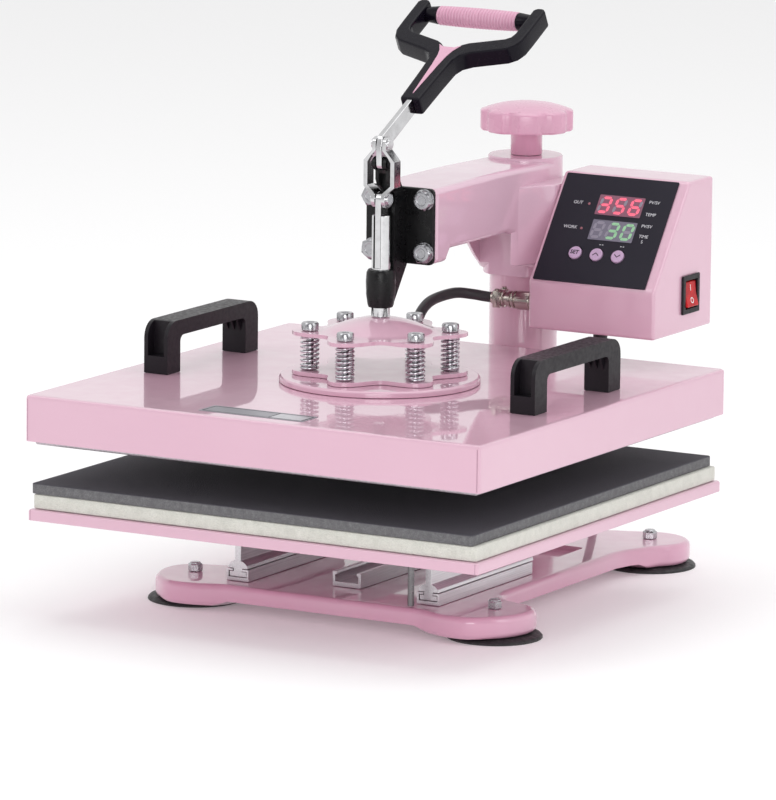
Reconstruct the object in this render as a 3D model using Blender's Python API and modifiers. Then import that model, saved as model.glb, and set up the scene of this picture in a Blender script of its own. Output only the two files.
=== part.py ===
"""Swing-away flat heat press with a pull-out lower platen.

Metres, +Z up.  The press stands on z = 0 and is centred on the origin.
+X is the operator's right and +Y points to the back, where the column stands.
"""
import math

import bmesh
import bpy
from mathutils import Matrix, Vector

# ---------------------------------------------------------------- driving dimensions
GAP = 0.0003                 # clearance between touching pieces

PRESS_Y = -0.0458            # y of the plunger's centre line; x is 0
COLUMN_Y = PRESS_Y + 0.228   # y of the column's centre line; x is 0

BASE_TOP = 0.0215            # top face of the base plate
BEAM_BOTTOM = 0.0090         # underside of the base between its four lobes
LOBE_BOTTOM = 0.0042         # underside of a lobe, on its rubber foot
LOBE_RADIUS = 0.032
FRONT_FOOT = (0.1315, PRESS_Y - 0.0525)
BACK_FOOT = (0.104, PRESS_Y + 0.251)
FOOT_RADIUS = 0.0365

RAIL_X = 0.0835              # side rails, left and right of the middle
RAIL_WIDTH = 0.0195
RAIL_TOP = 0.0312
RAIL_FRONT = PRESS_Y - 0.070
RAIL_BACK = PRESS_Y + 0.077

TRAY_SIZE = 0.389            # lower platen
TRAY_BOTTOM = 0.0779
TRAY_TOP = 0.0866
FELT_TOP = 0.0984
PAD_TOP = 0.1064

HEAD_SIZE = 0.392            # upper platen, with its heater
HEAD_BOTTOM = 0.1390
HEAD_TOP = 0.1745
PLATE_SIZE = 0.381
PLATE_BOTTOM = 0.1360
SHEET = 0.0015               # sheet metal of the head and the tray

HANDLE_X = 0.160             # carry handles on the head
SCREW_CIRCLE = 0.0535        # pressure springs and their screws
STAR_RADIUS = 0.0570
STAR_LOBE = 0.0100
SPRING_LOW = 0.1836
SPRING_HIGH = 0.2102

COLUMN_RADIUS = 0.027
COLUMN_TOP = 0.2860
ARM_HALF = 0.0295
ARM_TOP = 0.3213
ARM_LOW = 0.2718
ARM_NOSE = PRESS_Y + 0.0322
KNOB_LOW = 0.3375
KNOB_TOP = 0.3640
KNOB_RADIUS = 0.0365

PIVOT_Z = 0.3427             # lever on the bracket
GRIP_ALONG = 0.1700          # the grip's axle, along the lever from the links' pin
LINK_Z = 0.3577              # links on the lever
PLUNGER_PIN_Z = 0.3153       # links beside the plunger's tongue, the open pivot
LEAN = math.radians(62.0)    # lean of the lever from the vertical
BAR_HALF = 0.0024            # half the lever's thickness
ROD_RADIUS = 0.0072

BOX_X0 = 0.0465              # control box
BOX_X1 = 0.1567
BOX_Y0 = PRESS_Y + 0.150
BOX_Y1 = PRESS_Y + 0.2475
BOX_Z0 = 0.1987
BOX_Z1 = 0.3154
BOX_STRIP = 0.0384           # height of the upright strip below the slanted front
BOX_SLANT = 0.0568           # how far the slanted front runs back
BOX_WALL = 0.0018

CORD_DIAMETER = 0.0068       # mains cord
LEAD_DIAMETER = 0.0084       # heater lead in its sleeve
COIL_CENTRE = (-0.105, PRESS_Y + 0.345)
COIL_RADIUS = 0.0408

# ---------------------------------------------------------------- collections, materials
COLOURS = {
    "pink_paint": ((0.83, 0.50, 0.62), 0.22, 0.0),
    "pink_plastic": ((0.83, 0.50, 0.62), 0.40, 0.0),
    "black_plastic": ((0.020, 0.020, 0.022), 0.55, 0.0),
    "black_paint": ((0.010, 0.010, 0.011), 0.40, 0.0),
    "panel_film": ((0.028, 0.027, 0.036), 0.35, 0.0),
    "chrome": ((0.80, 0.80, 0.80), 0.18, 1.0),
    "steel": ((0.60, 0.60, 0.60), 0.32, 1.0),
    "aluminium": ((0.72, 0.72, 0.74), 0.40, 1.0),
    "nickel": ((0.72, 0.67, 0.60), 0.25, 1.0),
    "felt": ((0.80, 0.78, 0.68), 0.95, 0.0),
    "foam_rubber": ((0.085, 0.085, 0.090), 0.85, 0.0),
    "rubber": ((0.018, 0.018, 0.018), 0.70, 0.0),
    "cord_sheath": ((0.015, 0.015, 0.016), 0.50, 0.0),
    "grip_wrap": ((0.84, 0.55, 0.66), 0.60, 0.0),
    "lilac_button": ((0.55, 0.36, 0.56), 0.45, 0.0),
    "red_rocker": ((0.62, 0.02, 0.02), 0.25, 0.0),
    "board": ((0.02, 0.16, 0.06), 0.50, 0.0),
    "ceramic_board": ((0.75, 0.73, 0.68), 0.90, 0.0),
}
PARTS = None
CUTTERS = None
MATERIALS = {}


def clear_scene():
    for obj in list(bpy.data.objects):
        bpy.data.objects.remove(obj)


def new_collection(name):
    group = bpy.data.collections.new(name)
    bpy.context.scene.collection.children.link(group)
    return group


def material(name):
    if name not in MATERIALS:
        colour, roughness, metallic = COLOURS[name]
        made = bpy.data.materials.new(name)
        made.use_nodes = True
        shader = made.node_tree.nodes["Principled BSDF"]
        shader.inputs["Base Color"].default_value = (*colour, 1.0)
        shader.inputs["Roughness"].default_value = roughness
        shader.inputs["Metallic"].default_value = metallic
        MATERIALS[name] = made
    return MATERIALS[name]


# ---------------------------------------------------------------- shape helpers
def place(name, data, look, location=(0, 0, 0)):
    """Link a new object into the part, or into the cutters when look is None."""
    obj = bpy.data.objects.new(name, data)
    obj.location = location
    if look is None:
        CUTTERS.objects.link(obj)
        obj.hide_render = True
        obj.display_type = "WIRE"
    else:
        PARTS.objects.link(obj)
        obj.data.materials.append(material(look))
    return obj


def smooth(obj, degrees=35):
    obj.data.shade_smooth()
    obj.data.set_sharp_from_angle(angle=math.radians(degrees))


def bevel(obj, width, segments=2, degrees=40):
    step = obj.modifiers.new("edges", "BEVEL")
    step.width = width
    step.segments = segments
    step.limit_method = "ANGLE"
    step.angle_limit = math.radians(degrees)
    step.use_clamp_overlap = True
    return step


def boolean(obj, other, operation="DIFFERENCE"):
    step = obj.modifiers.new(operation.lower(), "BOOLEAN")
    step.operation = operation
    step.object = other
    step.solver = "EXACT"
    return step


def box(name, low, high, look, edge=0.0):
    low, high = Vector(low), Vector(high)
    mesh = bpy.data.meshes.new(name)
    form = bmesh.new()
    bmesh.ops.create_cube(form, size=1.0)
    bmesh.ops.scale(form, vec=high - low, verts=form.verts)
    form.to_mesh(mesh)
    form.free()
    obj = place(name, mesh, look, (low + high) / 2)
    if edge:
        bevel(obj, edge)
    return obj


def cylinder(name, centre, radius, length, look, axis="Z", sides=32):
    """A cylinder about its centre, along one axis."""
    mesh = bpy.data.meshes.new(name)
    form = bmesh.new()
    bmesh.ops.create_cone(form, cap_ends=True, segments=sides, radius1=radius,
                          radius2=radius, depth=length)
    turn = {"X": Matrix.Rotation(math.pi / 2, 4, "Y"),
            "Y": Matrix.Rotation(math.pi / 2, 4, "X"),
            "Z": Matrix.Identity(4)}[axis]
    bmesh.ops.transform(form, matrix=turn, verts=form.verts)
    form.to_mesh(mesh)
    form.free()
    obj = place(name, mesh, look, centre)
    smooth(obj)
    return obj


def turned(name, centre, profile, look, steps=32, axis="Z", closed=False):
    """A turned solid from (radius, height) points, down its outer side."""
    mesh = bpy.data.meshes.new(name)
    form = bmesh.new()
    points = [form.verts.new((radius, 0, height)) for radius, height in profile]
    for first, second in zip(points, points[1:]):
        form.edges.new((first, second))
    if closed:
        form.edges.new((points[-1], points[0]))
    form.to_mesh(mesh)
    form.free()
    obj = place(name, mesh, look, centre)
    if axis == "X":
        obj.rotation_euler = (0, math.pi / 2, 0)
    if axis == "-X":
        obj.rotation_euler = (0, -math.pi / 2, 0)
    screw = obj.modifiers.new("turn", "SCREW")
    screw.axis = "Z"
    screw.steps = steps
    screw.render_steps = steps
    screw.use_merge_vertices = True
    screw.merge_threshold = 0.00002
    screw.use_smooth_shade = True
    return obj


def arc(centre, radius, start, end, count):
    """Points on an arc, in degrees, both ends included."""
    steps = [math.radians(start + (end - start) * i / (count - 1)) for i in range(count)]
    return [(centre[0] + radius * math.cos(a), centre[1] + radius * math.sin(a)) for a in steps]


def rounded_rect(x0, y0, x1, y1, radius, count=5):
    return (arc((x1 - radius, y1 - radius), radius, 0, 90, count)
            + arc((x0 + radius, y1 - radius), radius, 90, 180, count)
            + arc((x0 + radius, y0 + radius), radius, 180, 270, count)
            + arc((x1 - radius, y0 + radius), radius, 270, 360, count))


PLANES = {
    "XY": Matrix.Identity(3),
    "XZ": Matrix(((1, 0, 0), (0, 0, -1), (0, 1, 0))),
    "YZ": Matrix(((0, 0, 1), (1, 0, 0), (0, 1, 0))),
}


def outline_solid(name, outline, low, high, look, plane="XY", edge=0.0, segments=2, matrix=None):
    """A flat outline given thickness between low and high, along the plane's normal."""
    curve = bpy.data.curves.new(name, "CURVE")
    curve.dimensions = "2D"
    curve.fill_mode = "BOTH"
    curve.extrude = (high - low) / 2
    spline = curve.splines.new("POLY")
    spline.points.add(len(outline) - 1)
    for point, (u, v) in zip(spline.points, outline):
        point.co = (u, v, 0, 1)
    spline.use_cyclic_u = True
    flat = bpy.data.objects.new(name + "_outline", curve)
    bpy.context.scene.collection.objects.link(flat)
    bpy.context.view_layer.update()
    graph = bpy.context.evaluated_depsgraph_get()
    mesh = bpy.data.meshes.new_from_object(flat.evaluated_get(graph))
    bpy.data.objects.remove(flat)
    mesh.name = name
    middle = (low + high) / 2
    frame = matrix
    if frame is None:
        sign = -1 if plane == "XZ" else 1
        frame = PLANES[plane].to_4x4()
        shift = Matrix.Translation(frame.to_3x3() @ Vector((0, 0, middle * sign)))
        frame = shift @ frame
    form = bmesh.new()
    form.from_mesh(mesh)
    bmesh.ops.remove_doubles(form, verts=form.verts, dist=0.00001)
    bmesh.ops.dissolve_limit(form, angle_limit=0.0005, verts=form.verts, edges=form.edges)
    bmesh.ops.transform(form, matrix=frame, verts=form.verts)
    bmesh.ops.recalc_face_normals(form, faces=form.faces)
    form.to_mesh(mesh)
    form.free()
    mesh.materials.clear()
    obj = place(name, mesh, look)
    if edge:
        bevel(obj, edge, segments)
    return obj


def smooth_path(points, spacing):
    """Points along a smooth curve (Catmull-Rom) through the given ones."""
    points = [Vector(p) for p in points]
    ends = [2 * points[0] - points[1]] + points + [2 * points[-1] - points[-2]]
    path = [points[0]]
    for a, b, c, d in zip(ends, ends[1:], ends[2:], ends[3:]):
        count = max(2, round((c - b).length / spacing))
        for i in range(1, count + 1):
            t = i / count
            path.append(0.5 * (2 * b + (c - a) * t + (2 * a - 5 * b + 4 * c - d) * t ** 2
                               + (3 * b - a - 3 * c + d) * t ** 3))
    return path


def tube(name, points, radius, look, resolution=2):
    curve = bpy.data.curves.new(name, "CURVE")
    curve.dimensions = "3D"
    curve.bevel_depth = radius
    curve.bevel_resolution = resolution
    curve.use_fill_caps = True
    spline = curve.splines.new("POLY")
    spline.points.add(len(points) - 1)
    for point, place_at in zip(spline.points, points):
        point.co = (*place_at, 1)
    return place(name, curve, look)


def axis_empty(name, location):
    empty = bpy.data.objects.new(name, None)
    empty.empty_display_size = 0.02
    empty.location = location
    PARTS.objects.link(empty)
    return empty


def hold(parent, *children):
    """Parent pieces to a joint's empty, or to another piece, where they stand."""
    bpy.context.view_layer.update()
    for child in children:
        child.parent = parent
        child.matrix_parent_inverse = parent.matrix_world.inverted()


# ---------------------------------------------------------------- base and drawer rails
def base_outline():
    """Four lobes joined by straight, narrower beams with concave necks."""
    fx, fy = FRONT_FOOT
    bx, by = BACK_FOOT
    front_y = PRESS_Y - 0.0880
    side_x = 0.1095
    front_lobe = [
        (0.0700, front_y), (0.0850, front_y - 0.0004), (fx - 0.0360, front_y - 0.0042),
        (fx - 0.0240, front_y - 0.0084), (fx - 0.0110, front_y - 0.0098), (fx + 0.0010, front_y - 0.0078),
        (fx + 0.0120, fy - 0.0345), (fx + 0.0205, fy - 0.0255), (fx + 0.0270, fy - 0.0130),
        (fx + 0.0300, fy + 0.0010), (fx + 0.0285, fy + 0.0135), (fx + 0.0215, fy + 0.0240),
        (fx + 0.0100, fy + 0.0305), (fx - 0.0050, fy + 0.0345), (side_x + 0.0050, fy + 0.0450),
        (side_x, fy + 0.0620),
    ]
    right = [(x, y) for x, y, z in smooth_path([(x, y, 0) for x, y in front_lobe], 0.0065)]
    right += [(side_x, by - 0.0660), (side_x + 0.0040, by - 0.0490)]
    right += arc((bx, by), LOBE_RADIUS, -48, 112, 13)
    right += [(bx - 0.030, by + 0.0220), (bx - 0.048, by + 0.0160)]
    left = [(-x, y) for x, y in reversed(right)]
    return right + left


def make_base():
    """One painted plate: deep over its four lobes, and shallower between them."""
    base = outline_solid("base_plate", base_outline(), LOBE_BOTTOM, BASE_TOP, "pink_paint")
    bevel(base, 0.0048, 3, 50)
    hollow = box("base_hollow", (-0.300, PRESS_Y - 0.200, LOBE_BOTTOM - 0.010),
                 (0.300, PRESS_Y + 0.400, BEAM_BOTTOM), None)
    for x, y, reach in ((FRONT_FOOT[0] - 0.004, FRONT_FOOT[1] - 0.008, 0.0420),
                        (BACK_FOOT[0], BACK_FOOT[1], LOBE_RADIUS + 0.0010)):
        for sign in (-1, 1):
            boolean(hollow, turned("lobe", (sign * x, y, 0), [
                (0, BEAM_BOTTOM + 0.0010), (reach + 0.0140, BEAM_BOTTOM + 0.0010), (reach, LOBE_BOTTOM),
                (reach, LOBE_BOTTOM - 0.012), (0, LOBE_BOTTOM - 0.012),
            ], None))
    boolean(base, hollow)
    recess = box("base_recess", (-0.078, PRESS_Y + 0.102, BASE_TOP - 0.0050),
                 (0.078, PRESS_Y + 0.190, BASE_TOP + 0.0100), None, 0.004)
    boolean(base, recess)
    for side_x, side_y in (FRONT_FOOT, BACK_FOOT):
        for sign in (-1, 1):
            hole = cylinder("stud_hole", (sign * side_x, side_y, 0.012), 0.0040, 0.040, None, sides=16)
            boolean(base, hole)
    return base


def make_foot(name, x, y):
    """A suction foot: a soft cup with a stud moulded in."""
    profile = [
        (0, BASE_TOP + 0.0068), (0.0036, BASE_TOP + 0.0068), (0.0036, LOBE_BOTTOM - GAP),
        (0.0300, LOBE_BOTTOM - GAP), (0.0352, 0.0027), (FOOT_RADIUS, 0.0012),
        (FOOT_RADIUS, 0), (0.0345, 0), (0.0280, 0.0016), (0, 0.0022),
    ]
    return turned(name, (x, y, 0), profile, "rubber", steps=32)


def make_column():
    z0 = BASE_TOP + GAP
    profile = [
        (0.0238, COLUMN_TOP), (COLUMN_RADIUS, COLUMN_TOP), (COLUMN_RADIUS, z0 + 0.0080),
        (0.0300, z0 + 0.0050), (0.0300, z0), (0.0238, z0),
    ]
    return turned("column", (0, COLUMN_Y, 0), profile, "pink_paint", steps=40, closed=True)


def make_side_rail(name, x):
    """A channel with two inward lips that hold the slider's foot."""
    w = RAIL_WIDTH / 2
    z0 = BASE_TOP + GAP
    z1 = RAIL_TOP
    outline = [
        (x - w, z0), (x + w, z0), (x + w, z1), (x + 0.0042, z1), (x + 0.0042, z1 - 0.0018),
        (x + w - 0.0018, z1 - 0.0018), (x + w - 0.0018, z0 + 0.0030), (x - w + 0.0018, z0 + 0.0030),
        (x - w + 0.0018, z1 - 0.0018), (x - 0.0042, z1 - 0.0018), (x - 0.0042, z1), (x - w, z1),
    ]
    return outline_solid(name, outline, RAIL_FRONT, RAIL_BACK, "aluminium", "XZ")


def make_slider(name, x):
    """The drawer's slide: a foot in the channel, a round cap over its lips and a tall web."""
    z1 = RAIL_TOP
    top = TRAY_TOP - SHEET - GAP
    foot_low = BASE_TOP + GAP + 0.0030 + GAP
    foot_high = z1 - 0.0018 - GAP
    cap_low = z1 + GAP
    half = [
        (0.0026, top), (0.0026, cap_low + 0.0062), (0.0055, cap_low + 0.0050),
        (0.0082, cap_low + 0.0026), (0.0086, cap_low), (0.0038, cap_low),
        (0.0038, foot_high), (0.0074, foot_high), (0.0074, foot_low),
    ]
    outline = [(x + u, v) for u, v in half] + [(x - u, v) for u, v in reversed(half)]
    return outline_solid(name, outline, RAIL_FRONT + 0.0006, RAIL_BACK + 0.0035, "aluminium", "XZ")


def make_center_rail():
    x0, x1 = -0.0134, 0.0113
    z0, z1 = BASE_TOP + GAP, 0.0335
    outline = [
        (x0, z0), (x1, z0), (x1, z1), (x1 - 0.0034, z1), (x1 - 0.0040, z1 - 0.0020),
        (x1 - 0.0022, z1 - 0.0028), (x1 - 0.0022, z0 + 0.0038), (x0 + 0.0022, z0 + 0.0038),
        (x0 + 0.0022, z1 - 0.0028), (x0 + 0.0040, z1 - 0.0020), (x0 + 0.0034, z1), (x0, z1),
    ]
    return outline_solid("rail_center", outline, PRESS_Y - 0.046, PRESS_Y + 0.090, "aluminium", "XZ")


def pan(name, size, low, high, look, round_edge):
    """A shallow sheet-metal pan, open underneath."""
    half = size / 2
    mesh = bpy.data.meshes.new(name)
    form = bmesh.new()
    bmesh.ops.create_cube(form, size=1.0)
    bmesh.ops.scale(form, vec=(size, size, high - low), verts=form.verts)
    under = [face for face in form.faces if face.normal.z < -0.5]
    bmesh.ops.delete(form, geom=under, context="FACES_ONLY")
    form.to_mesh(mesh)
    form.free()
    obj = place(name, mesh, look, (0, PRESS_Y, (low + high) / 2))
    bevel(obj, min(round_edge, half), 2)
    wall = obj.modifiers.new("sheet", "SOLIDIFY")
    wall.thickness = SHEET
    wall.offset = -1
    wall.use_even_offset = True
    return obj


def slab(name, size, low, high, look, edge, shift=(0, 0)):
    half = size / 2
    return box(name, (shift[0] - half, PRESS_Y + shift[1] - half, low),
               (shift[0] + half, PRESS_Y + shift[1] + half, high), look, edge)


def make_drawer():
    tray = pan("lower_tray", TRAY_SIZE, TRAY_BOTTOM, TRAY_TOP, "pink_paint", 0.0020)
    felt = slab("felt_pad", 0.383, TRAY_TOP + GAP, FELT_TOP - GAP, "felt", 0.0012)
    foam = slab("foam_pad", 0.381, FELT_TOP, PAD_TOP, "foam_rubber", 0.0012, (-0.002, -0.0016))
    left = make_slider("slider_left", -RAIL_X)
    right = make_slider("slider_right", RAIL_X)
    pin_top = TRAY_TOP - SHEET - GAP
    pin_low = BASE_TOP + 0.0008
    pin = cylinder("stop_pin", (0.0753, PRESS_Y - 0.0816, (pin_top + pin_low) / 2), 0.0025,
                   pin_top - pin_low, "steel", sides=16)
    hold(axis_empty("drawer_slide_axis", (0, PRESS_Y, TRAY_BOTTOM)), tray, felt, foam, left, right, pin)


# ---------------------------------------------------------------- upper platen
def make_carry_handle(name, x):
    """A bridge handle on two feet, with a clear finger space."""
    y0, y1 = PRESS_Y - 0.066, PRESS_Y + 0.070
    z0, z1 = HEAD_TOP + GAP, HEAD_TOP + 0.0405
    foot = 0.0190
    bar = 0.0120
    outer = [(y1, z0)] + arc((y1 - 0.0130, z1 - 0.0130), 0.0130, 0, 90, 6)
    outer += arc((y0 + 0.0130, z1 - 0.0130), 0.0130, 90, 180, 6) + [(y0, z0)]
    inner = [(y0 + foot, z0)] + arc((y0 + foot + 0.0050, z1 - bar - 0.0050), 0.0050, 180, 90, 4)
    inner += arc((y1 - foot - 0.0050, z1 - bar - 0.0050), 0.0050, 90, 0, 4) + [(y1 - foot, z0)]
    return outline_solid(name, outer + inner, x - 0.0105, x + 0.0105, "black_plastic", "YZ", 0.0016)


def star_outline(count=72):
    """A round plate with six lobes, one under each spring."""
    points = []
    for i in range(count):
        angle = 2 * math.pi * i / count
        radius = STAR_RADIUS + STAR_LOBE * math.cos(6 * (angle - math.pi / 6))
        points.append((radius * math.cos(angle), PRESS_Y + radius * math.sin(angle)))
    return points


def screw_places():
    for i in range(6):
        angle = math.radians(30 + 60 * i)
        yield SCREW_CIRCLE * math.cos(angle), PRESS_Y + SCREW_CIRCLE * math.sin(angle)


def make_stud_plate():
    """The fixed star plate and the six cap screws that stand on it."""
    low = HEAD_TOP + 0.0053 + GAP
    plate = outline_solid("stud_plate", star_outline(), low, low + 0.0032, "pink_paint")
    head_low = 0.2138
    for x, y in screw_places():
        profile = [
            (0, head_low + 0.0052), (0.0058, head_low + 0.0052), (0.0064, head_low + 0.0046),
            (0.0064, head_low), (0.0030, head_low), (0.0030, low + 0.0010), (0, low + 0.0010),
        ]
        boolean(plate, turned("cap_screw", (x, y, 0), profile, None, steps=14), "UNION")
    return plate


def make_spring(name, x, y):
    turns, per_turn = 4.5, 10
    wire = 0.0010
    radius = 0.0074 - wire
    low, high = SPRING_LOW + wire, SPRING_HIGH - wire
    points = []
    for i in range(int(turns * per_turn) + 1):
        angle = 2 * math.pi * i / per_turn
        height = low + (high - low) * i / (turns * per_turn)
        points.append((x + radius * math.cos(angle), y + radius * math.sin(angle), height))
    return tube(name, points, wire, "chrome", 1)


def make_spring_plate():
    """The domed star plate that the plunger presses on."""
    low, high, rise, dome = 0.2105, 0.2134, 0.0116, 0.0455
    top, under = [], []
    for i in range(8):
        radius = dome * i / 7
        lift = rise * math.cos(math.pi / 2 * radius / dome)
        top.append((radius, high + lift))
        under.append((radius, low + lift))
    profile = top + [(0.072, high), (0.072, low)] + list(reversed(under))
    plate = turned("spring_plate", (0, PRESS_Y, 0), profile, "pink_paint", steps=50)
    star = outline_solid("star_cutter", star_outline(), 0.200, 0.240, None)
    boolean(plate, star, "INTERSECT")
    for x, y in screw_places():
        boolean(plate, cylinder("screw_hole", (x, y, 0.212), 0.0035, 0.012, None, sides=12))
    boolean(plate, cylinder("rod_hole", (0, PRESS_Y, 0.222), 0.0050, 0.020, None, sides=16))
    return plate


def make_plunger():
    """A slotted rod with a flat tongue in the slot and a spigot through the spring plate."""
    shoulder, slot_low = 0.3030, 0.2625
    profile = [
        (0, shoulder), (ROD_RADIUS - 0.0006, shoulder), (ROD_RADIUS, shoulder - 0.0006),
        (ROD_RADIUS, 0.2256), (0.0046, 0.2256), (0.0046, 0.2075), (0, 0.2075),
    ]
    rod = turned("plunger_rod", (0, PRESS_Y, 0), profile, "chrome", steps=28)
    slot = box("rod_slot", (-0.0032, PRESS_Y - 0.012, slot_low), (0.0032, PRESS_Y + 0.012, 0.31), None)
    boolean(rod, slot)
    top = PLUNGER_PIN_Z
    tongue = [(PRESS_Y - 0.0055, slot_low - 0.0060), (PRESS_Y + 0.0055, slot_low - 0.0060)]
    tongue += arc((PRESS_Y, top), 0.0055, 0, 180, 9)
    boolean(rod, outline_solid("tongue", tongue, -BAR_HALF, BAR_HALF, None, "YZ"), "UNION")
    return rod


def make_head():
    housing = pan("head_housing", HEAD_SIZE, HEAD_BOTTOM, HEAD_TOP, "pink_paint", 0.0028)
    plate = slab("heat_plate", PLATE_SIZE, PLATE_BOTTOM, 0.1500, "aluminium", 0.0012)
    board = slab("insulation_board", 0.366, 0.1503, 0.1603, "ceramic_board", 0)
    left = make_carry_handle("carry_handle_left", -HANDLE_X)
    right = make_carry_handle("carry_handle_right", HANDLE_X)
    z0 = HEAD_TOP + GAP
    disc = turned("spring_disc", (0, PRESS_Y, 0), [
        (0, z0 + 0.0050), (0.0755, z0 + 0.0050), (0.0770, z0 + 0.0036), (0.0770, z0), (0, z0),
    ], "pink_paint", steps=56)
    studs = make_stud_plate()
    springs = [make_spring(f"pressure_spring_{i + 1}", x, y) for i, (x, y) in enumerate(screw_places())]
    # the heater lead is held at both ends, by its connector and in the head
    route = [
        (0.0062, 0.1650, 0.2174), (0.0000, 0.1647, 0.2176), (-0.0095, 0.1610, 0.2190),
        (-0.0185, 0.1515, 0.2205), (-0.0240, 0.1350, 0.2190), (-0.0245, 0.1180, 0.2165),
        (-0.0225, 0.1020, 0.2105), (-0.0205, 0.0920, 0.2000), (-0.0200, 0.0890, 0.1880),
        (-0.0200, 0.0890, HEAD_TOP + GAP),
    ]
    points = smooth_path([(x, PRESS_Y + y, z) for x, y, z in route], 0.010)
    lead = tube("heater_lead", points, LEAD_DIAMETER / 2, "cord_sheath")
    hold(axis_empty("platen_slide_axis", (0, PRESS_Y, HEAD_TOP)),
         housing, plate, board, left, right, disc, studs, lead, *springs)
    rod = make_plunger()
    dome = make_spring_plate()
    hold(axis_empty("pressure_float_axis", (0, PRESS_Y, SPRING_HIGH)), rod, dome)


# ---------------------------------------------------------------- arm and toggle bracket
def make_arm():
    """A hollow casting: an inverted channel with two cheeks that come down beside the column."""
    y = PRESS_Y
    side = [
        (y + 0.0322, 0.2628), (y + 0.0502, 0.2628), (y + 0.0571, ARM_LOW), (y + 0.1480, ARM_LOW),
        (y + 0.1640, 0.2685), (y + 0.1790, 0.2590), (y + 0.1930, 0.2440), (y + 0.2060, 0.2330),
        (y + 0.2170, 0.2294), (y + 0.2300, 0.2290), (y + 0.2300, 0.3190), (y + 0.1450, 0.3212),
        (y + 0.0900, ARM_TOP), (y + 0.0322, 0.3206),
    ]
    arm = outline_solid("arm_casting", side, -ARM_HALF, ARM_HALF, "pink_paint", "YZ")
    bevel(arm, 0.0045, 3, 60)
    head = turned("arm_head", (0, COLUMN_Y, 0), [
        (0, 0.3222), (0.0285, 0.3222), (0.0295, 0.3212), (0.0302, 0.2900),
        (0.0318, 0.2600), (0.0322, 0.2290), (0, 0.2290),
    ], None, steps=40)
    boolean(arm, head, "UNION")
    boss = [(0.0270, y + 0.155), (0.0300, y + 0.163), (0.0340, y + 0.175), (0.0400, y + 0.187),
            (BOX_X0 - GAP, y + 0.194), (BOX_X0 - GAP, y + 0.240), (0.0200, y + 0.240)]
    boolean(arm, outline_solid("box_boss", boss, 0.2440, 0.3060, None, "XY", 0.003), "UNION")
    hollow = [
        (y + 0.0420, 0.2400), (y + 0.0420, 0.3150), (y + 0.2000, 0.3150), (y + 0.2000, 0.2200),
    ]
    boolean(arm, outline_solid("arm_hollow", hollow, -0.0242, 0.0242, None, "YZ"))
    boolean(arm, turned("column_bore", (0, COLUMN_Y, 0), [
        (0, 0.3060), (COLUMN_RADIUS + 0.0005, 0.3060), (COLUMN_RADIUS + 0.0005, 0.2100), (0, 0.2100),
    ], None, steps=40))
    boolean(arm, cylinder("screw_bore", (0, COLUMN_Y, 0.315), 0.0085, 0.040, None, sides=20))
    for x in (-0.0225, 0.0225):
        for z in (0.2722, 0.3130):
            hole = cylinder("bolt_hole", (x, y + 0.040, z), 0.0044, 0.030, None, "Y", 14)
            boolean(arm, hole)
    return arm


def make_bracket():
    """The toggle bracket: a bolted plate, a web, the plunger's guide and two pivot ears."""
    y = PRESS_Y
    plate = outline_solid("toggle_bracket", rounded_rect(-ARM_HALF, 0.2625, ARM_HALF, 0.3215, 0.0040),
                          y + 0.0277, y + 0.0319, "black_paint", "XZ")
    bevel(plate, 0.0008, 1, 60)
    web = [(y + 0.0079, 0.2330), (y + 0.0290, 0.2625), (y + 0.0290, 0.3195), (y + 0.0088, 0.3195)]
    boolean(plate, outline_solid("bracket_web", web, -0.0065, 0.0065, None, "YZ"), "UNION")
    sleeve = turned("bracket_guide", (0, y, 0), [
        (0.0077, 0.2612), (0.0098, 0.2612), (0.0110, 0.2590), (0.0115, 0.2520), (0.0112, 0.2420),
        (0.0101, 0.2345), (0.0093, 0.2324), (0.0077, 0.2324),
    ], None, steps=28, closed=True)
    boolean(plate, sleeve, "UNION")
    ear = [(y + 0.0092, 0.3000), (y + 0.0250, 0.3000), (y + 0.0250, 0.3170), (y + 0.0140, 0.3330)]
    ear += arc((y, PIVOT_Z), 0.0052, 50, 262, 11)
    ear += [(y + 0.0055, 0.3345), (y + 0.0092, 0.3290)]
    for side in (-1, 1):
        low, high = sorted((side * 0.0031, side * 0.0061))
        boolean(plate, outline_solid("bracket_ear", ear, low, high, None, "YZ"), "UNION")
    boolean(plate, cylinder("ear_bore", (0, y, PIVOT_Z), 0.0032, 0.030, None, "X", 16))
    for x in (-0.0225, 0.0225):
        for z in (0.2722, 0.3130):
            boolean(plate, cylinder("plate_hole", (x, y + 0.030, z), 0.0044, 0.020, None, "Y", 14))
    return plate


def make_bracket_bolt(name, x, z):
    """A hexagon bolt with its washer, screwed into the arm's nose."""
    face = PRESS_Y + 0.0277 - GAP
    bolt = cylinder(name, (x, face - 0.0007, z), 0.0088, 0.0014, "steel", "Y", 20)
    head = cylinder("hex_head", (x, face - 0.0036, z), 0.0082, 0.0052, None, "Y", 6)
    shank = cylinder("shank", (x, face + 0.0065, z), 0.0040, 0.0150, None, "Y", 14)
    boolean(bolt, head, "UNION")
    boolean(bolt, shank, "UNION")
    return bolt


def slant_frame(x, along, out=0.0):
    """A matrix on the box's slanted front: X right, Y up the slant, Z outwards."""
    run, rise = BOX_SLANT, BOX_Z1 - BOX_Z0 - BOX_STRIP
    length = math.hypot(run, rise)
    up = Vector((0, run / length, rise / length))
    normal = Vector((0, -rise / length, run / length))
    point = Vector((BOX_X0 + x, BOX_Y0, BOX_Z0 + BOX_STRIP)) + up * along + normal * out
    turn = Matrix((Vector((1, 0, 0)), up, normal)).transposed().to_4x4()
    return Matrix.Translation(point) @ turn


BUTTONS = {"button_set": 0.0330, "button_up": 0.0515, "button_down": 0.0701}
BUTTON_ALONG = 0.0263


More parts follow.
